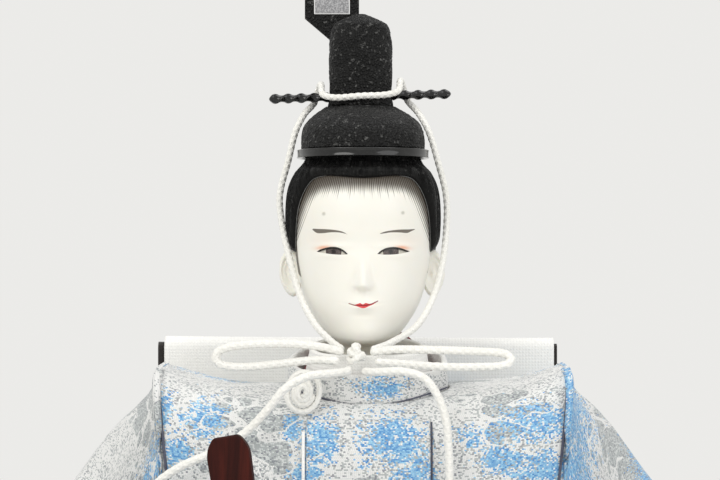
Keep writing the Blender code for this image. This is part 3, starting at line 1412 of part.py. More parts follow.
def add_crown():
    """Glossy rim, low cap and koji of the crown."""
    rim_centre = Vector((0, RIM_CENTRE_Y, RIM_BASE))
    outer = []
    inner = []
    for level, swell in ((0.0, 0.0), (0.5, 0.0004), (1.0, 0.0)):
        centre = rim_centre + UP * (RIM_HEIGHT * level)
        outer.append(oval(centre, Vector((RIM_HALF_WIDTH + swell, 0, 0)),
                          Vector((0, RIM_HALF_DEPTH + swell, 0)), 2.15, 26))
        inner.append(oval(centre, Vector((RIM_HALF_WIDTH - RIM_WALL, 0, 0)),
                          Vector((0, RIM_HALF_DEPTH - RIM_WALL, 0)), 2.15, 26))
    shell("crown_rim", outer, inner, "crown_lacquer", "head")
    levels = (0.0, 0.35, 0.58, 0.78, 1.0)
    shell("crown_cap", [cap_ring(level, 0.0) for level in levels],
          [cap_ring(level, CAP_WALL) for level in levels], "crown_gauze", "head")
    levels = (0.0, 0.12, 0.45, 0.7, 0.84, 0.93, 0.98, 1.0)
    koji = capped("koji", [koji_ring(level, 0.0) for level in levels], "crown_gauze", "head")
    hollow = [koji_ring(0.0, KOJI_WALL, OVERRUN)]
    hollow += [koji_ring(level, KOJI_WALL) for level in levels[:5]]
    change(koji, capped("koji_hollow_cutter", hollow, "crown_gauze", "head"), "DIFFERENCE")
    start, end = pin_ends()
    pin_bore = rod("pin_bore_cutter", start, end, PIN_SHANK_RADIUS + GAP, 10, "crown_gauze", "head")
    change(koji, pin_bore, "DIFFERENCE")


def pin_ends():
    """Both ends of the hairpin's axis."""
    return (Vector((PIN_LEFT, KOJI_CENTRE_Y, PIN_LEFT_HEIGHT)),
            Vector((PIN_RIGHT, KOJI_CENTRE_Y, PIN_RIGHT_HEIGHT)))


def add_hairpin():
    """Hairpin through the foot of the koji, plain inside and twisted outside."""
    start, end = pin_ends()
    axis = (end - start).normalized()
    side = axis.cross(UP).normalized()
    top = side.cross(axis)
    length = (end - start).length
    inner_left = KOJI_CENTRE_X - KOJI_HALF_WIDTH * 1.04 - GAP - start.x
    inner_right = KOJI_CENTRE_X + KOJI_HALF_WIDTH * 1.04 + GAP - start.x
    places = shares(13, 0.0, inner_left) + [inner_left] + [inner_right] + shares(13, inner_right, length)
    rings = []
    for number, distance in enumerate(places):
        inside = number in (13, 14)
        turn = Matrix.Rotation(math.pi * distance / PIN_SCALLOP, 3, axis)
        wide = PIN_SHANK_RADIUS if inside else PIN_RADIUS
        thin = PIN_SHANK_RADIUS if inside else PIN_RADIUS * PIN_FLATNESS_SHARE
        rings.append(oval(start + axis * distance, turn @ side * wide, turn @ top * thin, 2.6, 8))
    capped("kanzashi", rings, "crown_lacquer", "head")


# Tail of the crown and its socket

def ei_y(height):
    """Depth of the ei at a height: upright at its foot and bowed back above."""
    share = max(height - SOCKET_TOP, 0.0) / (EI_TOP - SOCKET_TOP)
    return socket_y() + EI_BOW * share ** 1.6


def socket_y():
    """Middle of the socket, behind the koji."""
    half_slot = EI_THICKNESS / 2 + GAP
    return KOJI_CENTRE_Y + KOJI_HALF_DEPTH * 1.04 + GAP + SOCKET_WALL + half_slot


def ei_row(height, left, right, front):
    """Two edge points and the middle of the ei at one height."""
    offset = EI_THICKNESS / 2 * front
    return [Vector((x, ei_y(height) + offset, height)) for x in (left, (left + right) / 2, right)]


def add_ei():
    """Upright tail: black border with its tang, and a panel of grey gauze inside."""
    tang_left = KOJI_CENTRE_X - EI_TANG_WIDTH / 2
    tang_right = KOJI_CENTRE_X + EI_TANG_WIDTH / 2
    right = EI_LEFT + EI_WIDTH
    rows = [
        (SOCKET_TOP - EI_TANG_LENGTH, tang_left, tang_right),
        (SOCKET_TOP + GAP * 2, tang_left, tang_right),
        (EI_FOOT, EI_LEFT + EI_WIDTH * 0.55, max(right, tang_right)),
        (EI_SHOULDER, EI_LEFT, right),
    ]
    rows += [(height, EI_LEFT, right) for height in shares(7, EI_SHOULDER, EI_TOP)[1:]]
    outer = [ei_row(*row, -1) for row in rows]
    inner = [ei_row(*row, 1) for row in rows]
    frame = sheet("ei_frame", outer, inner, "crown_lacquer", "ei")

    def window(name, margin, thickness, look):
        low = EI_SHOULDER + EI_BORDER * 0.5 - margin
        high = EI_TOP - EI_BORDER + margin
        heights = shares(7, low, high)
        left = EI_LEFT + EI_BORDER - margin
        limit = right - EI_BORDER + margin
        front = [[Vector((x, ei_y(height) - thickness / 2, height)) for x in (left, limit)] for height in heights]
        rear = [[Vector((x, ei_y(height) + thickness / 2, height)) for x in (left, limit)] for height in heights]
        return sheet(name, front, rear, look, "ei")

    change(frame, window("ei_window_cutter", 0.0, EI_THICKNESS * 6, "grey_gauze"), "DIFFERENCE")
    window("ei_gauze", -GAP, EI_GAUZE_THICKNESS, "grey_gauze")


def add_socket():
    """Small box behind the koji that the tang of the ei drops into."""
    half_slot = EI_THICKNESS / 2 + GAP
    centre = Vector((KOJI_CENTRE_X, socket_y(), SOCKET_TOP))
    side = Vector((EI_TANG_WIDTH / 2 + GAP + SOCKET_WALL, 0, 0))
    top = Vector((0, half_slot + SOCKET_WALL, 0))
    rings = [oval(Vector((centre.x, centre.y, height)), side, top, 8, 16) for height in (KOJI_BASE, SOCKET_TOP)]
    socket = capped("ei_socket", rings, "crown_lacquer", "head")
    side = Vector((EI_TANG_WIDTH / 2 + GAP, 0, 0))
    top = Vector((0, half_slot, 0))
    rings = [oval(centre - UP * drop, side, top, 12, 16) for drop in (EI_TANG_LENGTH + GAP, -OVERRUN)]
    change(socket, capped("tang_slot_cutter", rings, "crown_lacquer", "head"), "DIFFERENCE")


# Cords: routes as shares of the head, from the chin, or of the chest, from the neck seat

CROWN_CORD_SHARES = (
    (-0.2788, -1.2167, -0.0190),
    (-0.4808, -1.0250, 0.0127),
    (-0.7308, -0.7500, 0.0857),
    (-0.9615, -0.4375, 0.2222),
    (-1.0865, -0.2500, 0.3810),
    (-1.1827, -0.1500, 0.5397),
    (-1.2115, -0.0833, 0.6984),
    (-1.0865, -0.0208, 0.8730),
    (-0.9904, 0.0833, 1.0079),
    (-0.8654, 0.2583, 1.0984),
    (-0.7212, 0.4917, 1.1619),
    (-0.6490, 0.4333, 1.2349),
    (-0.6154, 0.2583, 1.2413),
    (-0.5865, 0.0750, 1.1905),
    (-0.4087, -0.0583, 1.1714),
    (-0.0337, -0.1250, 1.1778),
    (0.3413, -0.0583, 1.1857),
    (0.5192, 0.0750, 1.2095),
    (0.5481, 0.2583, 1.2603),
    (0.5817, 0.4333, 1.2540),
    (0.6538, 0.4917, 1.1778),
    (0.8173, 0.2583, 1.1048),
    (0.9615, 0.0833, 1.0127),
    (1.0865, -0.0208, 0.8730),
    (1.2115, -0.0833, 0.6984),
    (1.2115, -0.1500, 0.5397),
    (1.1538, -0.2500, 0.3810),
    (1.0192, -0.4167, 0.2222),
    (0.7692, -0.7292, 0.0857),
    (0.3846, -1.0250, 0.0095),
    (0.1154, -1.2167, -0.0190),
)
BOW_RIGHT_SHARES = (
    (-0.2692, -1.3250, -0.0286),
    (-0.6250, -1.3583, 0.0000),
    (-1.1538, -1.3667, 0.0127),
    (-1.7308, -1.3500, 0.0032),
    (-1.9808, -1.3417, -0.0190),
    (-2.0433, -1.3417, -0.0524),
    (-1.9615, -1.3417, -0.0841),
    (-1.6346, -1.3583, -0.0937),
    (-1.1538, -1.3833, -0.0794),
    (-0.6731, -1.4000, -0.0619),
    (-0.3269, -1.4250, -0.0667),
)
BOW_LEFT_SHARES = (
    (0.0962, -1.3167, -0.0286),
    (0.4327, -1.3000, -0.0159),
    (1.0577, -1.2667, -0.0190),
    (1.6827, -1.2500, -0.0270),
    (1.9712, -1.2583, -0.0365),
    (2.0529, -1.3000, -0.0619),
    (1.9712, -1.3417, -0.0857),
    (1.6346, -1.3667, -0.0937),
    (1.0577, -1.3833, -0.0921),
    (0.5288, -1.4000, -0.0794),
    (0.1635, -1.4083, -0.0698),
)
TAIL_RIGHT_SHARES = (
    (-0.0585, -0.8632, 0.1017),
    (-0.0911, -0.9368, 0.0983),
    (-0.1463, -0.9947, 0.0970),
    (-0.2602, -1.0632, 0.0917),
    (-0.3610, -1.0921, 0.0691),
    (-0.4309, -1.0842, 0.0346),
    (-0.5171, -1.0658, -0.0033),
    (-0.6146, -1.0579, -0.0346),
    (-0.7252, -1.0526, -0.0571),
    (-0.8293, -1.0316, -0.0757),
    (-0.9268, -0.9895, -0.1010),
    (-1.0244, -0.9632, -0.1395),
)
TAIL_LEFT_SHARES = (
    (0.0000, -0.8632, 0.0990),
    (0.0358, -0.9368, 0.0983),
    (0.0878, -0.9947, 0.0997),
    (0.1870, -1.0474, 0.1010),
    (0.2797, -1.0632, 0.0890),
    (0.3415, -1.0842, 0.0571),
    (0.3805, -1.1000, 0.0106),
    (0.3935, -1.1053, -0.0465),
    (0.3967, -1.1053, -0.1130),
    (0.3935, -1.1053, -0.1860),
    (0.3870, -1.1000, -0.2525),
    (0.3772, -1.0947, -0.3189),
)


def head_route(route_shares):
    """Places round the head, measured from the chin."""
    return [Vector((x * HEAD_HALF_WIDTH, y * HEAD_FRONT, CHIN_HEIGHT + z * HEAD_HEIGHT))
            for x, y, z in route_shares]


def chest_route(route_shares):
    """Places on the chest, measured from the neck seat."""
    return [Vector((x * SHOULDER_HALF_WIDTH, y * CHEST_FRONT, NECK_SEAT_HEIGHT + z * SHOULDER_HEIGHT))
            for x, y, z in route_shares]


def add_cords():
    """Crown cord, bow under the chin and its two tails."""
    crown_spacing = CROWN_CORD_RADIUS * 6
    bow_spacing = BOW_CORD_RADIUS * 5
    crown_route = head_route(CROWN_CORD_SHARES)
    tube("crown_cord", crown_route, CROWN_CORD_RADIUS, crown_spacing, "cord_silk", "head")
    for side, route_shares in (("right", BOW_RIGHT_SHARES), ("left", BOW_LEFT_SHARES)):
        tube("bow_loop_" + side, head_route(route_shares), BOW_CORD_RADIUS, bow_spacing, "cord_silk", "head")
    for side, route_shares in (("right", TAIL_RIGHT_SHARES), ("left", TAIL_LEFT_SHARES)):
        tube("cord_tail_" + side, chest_route(route_shares), BOW_CORD_RADIUS, bow_spacing, "cord_silk", "neck")
    centre = Vector((-KNOT_LEFT, -HEAD_FRONT - KNOT_STAND, CHIN_HEIGHT - KNOT_DROP))
    rings = []
    for angle in (-80, -50, -20, 20, 50, 80):
        scale = math.cos(math.radians(angle)) ** 0.7
        place = centre + UP * (KNOT_HALF_HEIGHT * math.sin(math.radians(angle)))
        rings.append(oval(place, Vector((KNOT_HALF_WIDTH * scale, 0, 0)),
                          Vector((0, KNOT_HALF_DEPTH * scale, 0)), 2.4, 12))
    capped("chin_knot", rings, "cord_silk", "head")


def build():
    """Build the whole doll."""
    clear_scene()
    add_bodies()
    add_base_board()
    add_core()
    add_robe()
    add_front_panel()
    add_collars()
    add_button()
    add_belt()
    add_lap()
    add_sash()
    add_sleeves()
    add_arms()
    add_hands()
    add_shaku()
    add_train()
    add_scabbard()
    add_sword()
    add_neck_peg()
    add_head()
    add_hair()
    add_crown()
    add_hairpin()
    add_socket()
    add_ei()
    add_cords()


build()
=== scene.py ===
"""Looks of the seated court doll: cloth, braided cords, painted face, hair and crown.

Units are metres in the CAD frame: +Z up, the doll faces -Y, right and left are the doll's own.
"""
import math

import bmesh
import bpy
import numpy as np
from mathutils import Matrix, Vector


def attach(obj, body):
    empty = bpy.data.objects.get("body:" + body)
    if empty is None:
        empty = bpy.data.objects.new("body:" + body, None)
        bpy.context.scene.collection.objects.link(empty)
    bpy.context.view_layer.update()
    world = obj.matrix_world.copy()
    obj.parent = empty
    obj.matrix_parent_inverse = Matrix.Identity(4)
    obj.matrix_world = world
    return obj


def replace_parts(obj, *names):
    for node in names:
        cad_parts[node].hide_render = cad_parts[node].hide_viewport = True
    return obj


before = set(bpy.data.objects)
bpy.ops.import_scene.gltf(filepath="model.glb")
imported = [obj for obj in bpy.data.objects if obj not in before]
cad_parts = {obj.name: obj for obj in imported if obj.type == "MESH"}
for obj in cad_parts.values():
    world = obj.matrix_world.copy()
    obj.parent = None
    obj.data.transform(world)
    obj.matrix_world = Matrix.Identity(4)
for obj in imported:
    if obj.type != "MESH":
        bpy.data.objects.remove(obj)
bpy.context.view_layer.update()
SCENE = bpy.context.scene

# Camera, light and stage

PHOTO_WIDTH = 720
FOCAL_PIXELS = 2000.0
CAMERA_PLACE = (-0.0009, -0.608, 0.1886)


def add_camera():
    data = bpy.data.cameras.new("camera")
    data.sensor_width = 36.0
    data.lens = data.sensor_width * FOCAL_PIXELS / PHOTO_WIDTH
    data.clip_start = 0.01
    data.clip_end = 20.0
    camera = bpy.data.objects.new("camera", data)
    camera.location = CAMERA_PLACE
    camera.rotation_euler = (math.radians(90), 0, 0)
    SCENE.collection.objects.link(camera)
    SCENE.camera = camera


def add_lamp(name, place, target, size, power, colour=(1, 1, 1)):
    data = bpy.data.lights.new(name, "AREA")
    data.shape = "DISK"
    data.size = size
    data.energy = power
    data.color = colour
    lamp = bpy.data.objects.new(name, data)
    lamp.location = place
    aim = Vector(target) - Vector(place)
    lamp.rotation_euler = aim.to_track_quat("-Z", "Y").to_euler()
    SCENE.collection.objects.link(lamp)


def node(tree, kind, inputs=(), **settings):
    """Add a shader node; inputs map a socket's name or number to a value or another socket."""
    made = tree.nodes.new("ShaderNode" + kind)
    for key, value in settings.items():
        setattr(made, key, value)
    for key, value in dict(inputs).items():
        if isinstance(value, bpy.types.NodeSocket):
            tree.links.new(value, made.inputs[key])
        else:
            made.inputs[key].default_value = value
    return made


def add_stage():
    world = bpy.data.worlds.new("studio")
    world.use_nodes = True
    tree = world.node_tree
    tree.nodes.clear()
    rays = node(tree, "LightPath")
    seen = node(tree, "Math", {0: rays.outputs["Is Camera Ray"], 1: rays.outputs["Is Transmission Ray"]},
                operation="MAXIMUM")
    glossy = node(tree, "Math", {0: seen.outputs[0], 1: rays.outputs["Is Glossy Ray"]}, operation="MAXIMUM")
    room = node(tree, "Background", {"Color": (1.0, 0.99, 0.96, 1), "Strength": 0.68})
    backdrop = node(tree, "Background", {"Color": (0.835, 0.830, 0.810, 1), "Strength": 1.0})
    both = node(tree, "MixShader", {0: glossy.outputs[0], 1: room.outputs[0], 2: backdrop.outputs[0]})
    out = node(tree, "OutputWorld", {0: both.outputs[0]})
    SCENE.world = world
    half = 0.9
    mesh = bpy.data.meshes.new("floor")
    mesh.from_pydata([(-half, -half, 0), (half, -half, 0), (half, half, 0), (-half, half, 0)], [], [(0, 1, 2, 3)])
    floor = bpy.data.objects.new("floor", mesh)
    SCENE.collection.objects.link(floor)
    floor.location.z = -0.0004
    material = bpy.data.materials.new("floor_paper")
    material.use_nodes = True
    shader = material.node_tree.nodes["Principled BSDF"]
    shader.inputs["Roughness"].default_value = 0.9
    grain = node(material.node_tree, "TexNoise", {"Scale": 120.0, "Detail": 3.0})
    tone = node(material.node_tree, "ValToRGB", {0: grain.outputs["Fac"]})
    tone.color_ramp.elements[0].color = (0.80, 0.80, 0.79, 1)
    tone.color_ramp.elements[1].color = (0.84, 0.84, 0.83, 1)
    material.node_tree.links.new(tone.outputs[0], shader.inputs["Base Color"])
    mesh.materials.append(material)


add_camera()
add_stage()
add_lamp("key", (-0.75, -1.05, 1.00), (0, 0, 0.16), 0.9, 8.0, (1.0, 0.99, 0.96))
add_lamp("fill", (0.95, -0.95, 0.55), (0, 0, 0.15), 1.1, 4.8, (0.98, 0.985, 1.0))
add_lamp("top", (0.0, 0.25, 1.25), (0, 0, 0.15), 1.0, 4.5)


# Small maths

def shares(count, low=0.0, high=1.0):
    return np.linspace(low, high, count)


def soft_step(value):
    value = np.clip(value, 0.0, 1.0)
    return value * value * (3 - 2 * value)


def signed_power(value, power):
    return np.sign(value) * np.abs(value) ** power


def read_table(table, share):
    """Smooth curve through rows of (share, value, ...), for an array of shares."""
    table = np.array(table, float)
    share = np.clip(np.asarray(share, float), table[0, 0], table[-1, 0])
    index = np.clip(np.searchsorted(table[:, 0], share, side="left") - 1, 0, len(table) - 2)
    before = table[np.maximum(index - 1, 0)]
    start = table[index]
    end = table[index + 1]
    after = table[np.minimum(index + 2, len(table) - 1)]
    span = (end - start)[..., :1]
    t = (share[..., None] - start[..., :1]) / span
    slope_start = (end - before) / (end - before)[..., :1] * span
    slope_end = (after - start) / (after - start)[..., :1] * span
    value = (start * (2 * t ** 3 - 3 * t ** 2 + 1) + slope_start * (t ** 3 - 2 * t ** 2 + t)
             + end * (3 * t ** 2 - 2 * t ** 3) + slope_end * (t ** 3 - t ** 2))
    return [value[..., column] for column in range(1, table.shape[1])]


def ripple(points, wavelength, seed, stretch=(1, 1, 1), count=10):
    """A smooth random field of about unit size, from a few plane waves."""
    rng = np.random.RandomState(seed)
    total = 0.0
    for _ in range(count):
        direction = rng.normal(size=3)
        direction *= np.array(stretch) / np.linalg.norm(direction)
        turn = math.tau / (wavelength * rng.uniform(0.7, 1.6))
        total = total + np.sin(points @ direction * turn + rng.uniform(0, math.tau))
    return total / math.sqrt(count / 2)


# Mesh builders


def grid_normals(points, closed):
    if closed:
        across = np.roll(points, -1, 1) - np.roll(points, 1, 1)
    else:
        across = np.gradient(points, axis=1)
    along = np.gradient(points, axis=0)
    normal = np.cross(across, along)
    return normal / np.maximum(np.linalg.norm(normal, axis=2, keepdims=True), 1e-12)


def mesh_object(name, points, faces, material, body, uvs=None):
    mesh = bpy.data.meshes.new(name)
    mesh.from_pydata(np.asarray(points).tolist(), [], np.asarray(faces).tolist())
    mesh.polygons.foreach_set("use_smooth", [True] * len(mesh.polygons))
    if uvs is not None:
        layer = mesh.uv_layers.new(name="cloth")
        layer.data.foreach_set("uv", np.asarray(uvs, np.float32).reshape(-1))
    mesh.materials.append(material)
    obj = bpy.data.objects.new(name, mesh)
    SCENE.collection.objects.link(obj)
    if body:
        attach(obj, body)
    return obj


def grid_piece(name, points, material, body, closed=False, wall=0.0, flip=False, keep=None, loop=False):
    """A cloth or shell from a grid of points; wall thickens it inwards; UVs are in metres along the cloth.

    loop joins the last row to the first, for cloth that is modelled with both of its faces.
    """
    points = np.concatenate([points, points[:1]]) if loop else points
    rows, columns = points.shape[:2]
    wrapped = np.concatenate([points, points[:, :1]], 1) if closed else points
    step_across = np.linalg.norm(np.diff(wrapped, axis=1), axis=2).mean(0)
    step_along = np.linalg.norm(np.diff(wrapped, axis=0), axis=2).mean(1)
    u = np.concatenate([[0], np.cumsum(step_across)])
    v = np.concatenate([[0], np.cumsum(step_along)])
    last = columns if closed else columns - 1
    row, column = np.meshgrid(np.arange(rows - 1), np.arange(last), indexing="ij")
    row, column = row.reshape(-1), column.reshape(-1)
    right = (column + 1) % columns
    faces = np.stack([row * columns + column, row * columns + right,
                      (row + 1) * columns + right, (row + 1) * columns + column], 1)
    uvs = np.stack([np.stack([u[column], v[row]], 1), np.stack([u[column + 1], v[row]], 1),
                    np.stack([u[column + 1], v[row + 1]], 1), np.stack([u[column], v[row + 1]], 1)], 1)
    if loop:
        rows -= 1
        faces, points = faces % (rows * columns), points[:-1]
    if keep is not None:
        faces, uvs = faces[keep], uvs[keep]
    if flip:
        faces, uvs = faces[:, ::-1], uvs[:, ::-1]
    flat = points.reshape(-1, 3)
    if keep is not None:
        used = np.unique(faces)
        order = np.full(len(flat), -1)
        order[used] = np.arange(len(used))
        flat, faces = flat[used], order[faces]
    obj = mesh_object(name, flat, faces, material, body, uvs)
    if wall:
        thick = obj.modifiers.new("wall", "SOLIDIFY")
        thick.thickness = wall
        thick.offset = -1.0
    return obj


def capped_grid(name, points, material, body, flip=False):
    """A closed loft: rings with both ends closed by fans."""
    rows, columns = points.shape[:2]
    obj = grid_piece(name, points, material, None, closed=True, flip=flip)
    work = bmesh.new()
    work.from_mesh(obj.data)
    work.verts.ensure_lookup_table()
    ends = [[work.verts[start + index] for index in range(columns)] for start in (0, (rows - 1) * columns)]
    for ring in ends:
        centre = work.verts.new(sum((vert.co for vert in ring), Vector()) / columns)
        for index in range(columns):
            work.faces.new((ring[index], ring[(index + 1) % columns], centre)).smooth = True
    bmesh.ops.recalc_face_normals(work, faces=work.faces)
    work.to_mesh(obj.data)
    work.free()
    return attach(obj, body) if body else obj


def ovals(centres, sides, tops, power, count):
    """Rings of points on superellipses; centres, sides and tops have one row for each ring."""
    angle = math.tau * (np.arange(count) + 0.5) / count
    power = np.broadcast_to(np.asarray(power, float), (len(centres),))[:, None, None]
    across = signed_power(np.cos(angle)[None, :, None], 2 / power)
    along = signed_power(np.sin(angle)[None, :, None], 2 / power)
    return centres[:, None] + sides[:, None] * across + tops[:, None] * along


def smooth_copy(name, source, material, body, voxel, rounds, replaced=True):
    """A finer, rounder piece in the place of a CAD node."""
    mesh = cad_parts[source].data.copy()
    obj = bpy.data.objects.new(name, mesh)
    mesh.materials.clear()
    mesh.materials.append(material)
    SCENE.collection.objects.link(obj)
    remesh = obj.modifiers.new("remesh", "REMESH")
    remesh.mode = "VOXEL"
    remesh.voxel_size = voxel
    remesh.use_smooth_shade = True
    smooth = obj.modifiers.new("smooth", "SMOOTH")
    smooth.iterations = rounds
    smooth.factor = 0.5
    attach(obj, body)
    if replaced:
        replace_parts(obj, source)
    return obj


# Materials

def material_tree(name, roughness, metallic=0.0, specular=0.5):
    material = bpy.data.materials.new(name)
    material.use_nodes = True
    tree = material.node_tree
    shader = tree.nodes["Principled BSDF"]
    shader.inputs["Roughness"].default_value = roughness
    shader.inputs["Metallic"].default_value = metallic
    shader.inputs["Specular IOR Level"].default_value = specular
    return material, tree, shader


def maths(tree, operation, first, second=0.0, third=None):
    inputs = {0: first, 1: second}
    if third is not None:
        inputs[2] = third
    return node(tree, "Math", inputs, operation=operation).outputs[0]


def blend_colour(tree, factor, first, second):
    mix = node(tree, "Mix", {0: factor}, data_type="RGBA")
    for socket, value in ((mix.inputs[6], first), (mix.inputs[7], second)):
        if isinstance(value, bpy.types.NodeSocket):
            tree.links.new(value, socket)
        else:
            socket.default_value = (*value, 1.0)
    return mix.outputs[2]


def noise(tree, vector, scale, detail=2.0, roughness=0.5, distortion=0.0):
    return node(tree, "TexNoise", {"Vector": vector, "Scale": scale, "Detail": detail,
                                   "Roughness": roughness, "Distortion": distortion}).outputs["Fac"]


def ramp(tree, factor, low, high):
    made = node(tree, "MapRange", {0: factor, 1: low, 2: high, 3: 0.0, 4: 1.0})
    made.interpolation_type = "SMOOTHSTEP"
    return made.outputs[0]


def scaled(tree, vector, scale):
    return node(tree, "Mapping", {"Vector": vector, "Scale": scale}).outputs[0]


def bump(tree, height, strength, distance):
    return node(tree, "Bump", {"Height": height, "Strength": strength, "Distance": distance}).outputs[0]


def cloth_coordinates(tree):
    return node(tree, "UVMap", uv_map="cloth").outputs[0]


def object_coordinates(tree):
    return node(tree, "TexCoord").outputs["Object"]


def weave_height(tree, vector, pitch):
    """Over and under of warp and weft at a pitch in metres."""
    turn = 1.0 / pitch
    first = node(tree, "TexWave", {"Vector": vector, "Scale": turn / 6.283, "Distortion": 0.6, "Detail": 1.0})
    first.bands_direction = "X"
    second = node(tree, "TexWave", {"Vector": vector, "Scale": turn / 6.283, "Distortion": 0.6, "Detail": 1.0})
    second.bands_direction = "Y"
    return maths(tree, "MULTIPLY", first.outputs["Fac"], second.outputs["Fac"])


def plain_cloth(name, colour, shade, roughness=0.75, pitch=0.0005, sheen=0.3, coordinates=cloth_coordinates):
    material, tree, shader = material_tree(name, roughness, specular=0.3)
    where = coordinates(tree)
    tone = noise(tree, where, 60.0, 4.0)
    threads = noise(tree, scaled(tree, where, (2600, 500, 1500)), 1.0, 1.0)
    mix = maths(tree, "ADD", maths(tree, "MULTIPLY", ramp(tree, tone, 0.3, 0.7), 0.6),
                maths(tree, "MULTIPLY", ramp(tree, threads, 0.35, 0.65), 0.4))
    tree.links.new(blend_colour(tree, mix, shade, colour), shader.inputs["Base Color"])
    shader.inputs["Sheen Weight"].default_value = sheen
    shader.inputs["Sheen Roughness"].default_value = 0.5
    tree.links.new(bump(tree, weave_height(tree, where, pitch), 0.5, 0.0002), shader.inputs["Normal"])
    return material


def brocade():
    """Figured silk: each weft float is a cell of its own, blue by chance in patches, with clouds outlined in white and
    painted shade in the gaps between the floats.
    """
    material, tree, shader = material_tree("brocade_look", 0.55, specular=0.35)
    where = cloth_coordinates(tree)
    split = node(tree, "SeparateColor", {0: node(tree, "Attribute", attribute_name="pattern").outputs["Color"]})
    blue_field, cloud_field = split.outputs[0], split.outputs[1]
    place = node(tree, "SeparateXYZ", {0: scaled(tree, where, (1750, 2350, 1))})
    row = maths(tree, "FLOOR", place.outputs[1])
    shift = node(tree, "TexWhiteNoise", {"W": row}, noise_dimensions="1D").outputs["Value"]
    along = maths(tree, "ADD", place.outputs[0], shift)
    cell = node(tree, "CombineXYZ", {0: maths(tree, "FLOOR", along), 1: row}).outputs[0]
    chance = node(tree, "SeparateColor", {0: node(tree, "TexWhiteNoise", {"Vector": cell}).outputs["Color"]})
    first, second, third = chance.outputs
    dome = maths(tree, "MULTIPLY", maths(tree, "PINGPONG", along, 0.5), maths(tree, "PINGPONG", place.outputs[1], 0.5))
    dome = ramp(tree, dome, 0.0, 0.14)
    patch = noise(tree, scaled(tree, where, (150, 260, 1)), 1.0, 3.0, 0.6)
    mottle = noise(tree, scaled(tree, where, (110, 130, 1)), 1.0, 3.0, 0.6)
    warp = node(tree, "VectorMath", {0: scaled(tree, where, (105, 165, 1)),
                                     1: node(tree, "TexNoise", {"Vector": where, "Scale": 130.0}).outputs["Color"]},
                operation="ADD").outputs[0]
    cells = node(tree, "TexVoronoi", {"Vector": warp, "Scale": 1.0, "Randomness": 0.9})
    cells.feature = "SMOOTH_F1"
    cells.inputs["Smoothness"].default_value = 0.12
    cells.voronoi_dimensions = "2D"
    reach = maths(tree, "SUBTRACT", maths(tree, "MULTIPLY", cloud_field, 0.80), cells.outputs["Distance"])
    inside = ramp(tree, reach, 0.09, 0.12)
    outline = maths(tree, "MULTIPLY", ramp(tree, reach, -0.01, 0.03), maths(tree, "SUBTRACT", 1.0, inside))
    plain = maths(tree, "SUBTRACT", 1.0, maths(tree, "MULTIPLY", outline, 0.85))
    grey_share = maths(tree, "ADD", maths(tree, "MULTIPLY", inside, 0.42), maths(tree, "ADD", 0.10, maths(tree, "MULTIPLY", ramp(tree, mottle, 0.3, 0.75), 0.34)))
    grey_share = maths(tree, "MULTIPLY", grey_share, plain)
    grey = maths(tree, "LESS_THAN", second, grey_share)
    dark = maths(tree, "LESS_THAN", third, maths(tree, "MULTIPLY", grey_share, 0.30))
    level = maths(tree, "ADD", maths(tree, "MULTIPLY", blue_field, 0.62), maths(tree, "MULTIPLY", patch, 0.75))
    blue_share = maths(tree, "MULTIPLY", maths(tree, "MULTIPLY", ramp(tree, level, 0.52, 0.98), 0.86), plain)
    blue = maths(tree, "LESS_THAN", first, blue_share)
    colour = blend_colour(tree, inside, (0.90, 0.90, 0.885), (0.70, 0.725, 0.715))
    colour = blend_colour(tree, maths(tree, "MULTIPLY", grey, 0.80), colour, (0.40, 0.43, 0.43))
    colour = blend_colour(tree, maths(tree, "MULTIPLY", dark, 0.8), colour, (0.20, 0.21, 0.24))
    tint = blend_colour(tree, third, (0.035, 0.26, 0.66), (0.40, 0.72, 0.93))
    colour = blend_colour(tree, blue, colour, tint)
    colour = blend_colour(tree, split.outputs[2], colour, (0.93, 0.925, 0.90))
    # painted shade: each float's colour is darkened towards its edges, standing for the shadow in the gaps between the
    # floats
    edge = maths(tree, "ADD", 0.80, maths(tree, "MULTIPLY", dome, 0.20))
    colour = blend_colour(tree, edge, (0.35, 0.38, 0.42), colour)
    tree.links.new(colour, shader.inputs["Base Color"])
    glint = maths(tree, "GREATER_THAN", third, 0.86)
    tree.links.new(maths(tree, "MULTIPLY", glint, 0.5), shader.inputs["Metallic"])
    tree.links.new(maths(tree, "SUBTRACT", 0.62, maths(tree, "MULTIPLY", glint, 0.30)), shader.inputs["Roughness"])
    shader.inputs["Sheen Weight"].default_value = 0.15
    relief = maths(tree, "ADD", maths(tree, "MULTIPLY", dome, 0.5), maths(tree, "MULTIPLY", outline, 0.5))
    relief = maths(tree, "ADD", relief, maths(tree, "MULTIPLY", second, 0.4))
    tree.links.new(bump(tree, relief, 0.7, 0.0003), shader.inputs["Normal"])
    return material


def lacquer(name, colour, roughness=0.12, coat=0.6):
    material, tree, shader = material_tree(name, roughness, specular=0.35)
    where = object_coordinates(tree)
    wear = noise(tree, where, 900.0, 4.0)
    tree.links.new(blend_colour(tree, ramp(tree, wear, 0.4, 0.8), colour, tuple(c * 2.2 + 0.004 for c in colour)),
                   shader.inputs["Base Color"])
    tree.links.new(maths(tree, "ADD", maths(tree, "MULTIPLY", wear, 0.12), roughness - 0.04),
                   shader.inputs["Roughness"])
    tree.links.new(bump(tree, noise(tree, where, 350.0, 2.0), 0.15, 0.0002), shader.inputs["Normal"])
    shader.inputs["Coat Weight"].default_value = coat
    shader.inputs["Coat Roughness"].default_value = 0.06
    return material


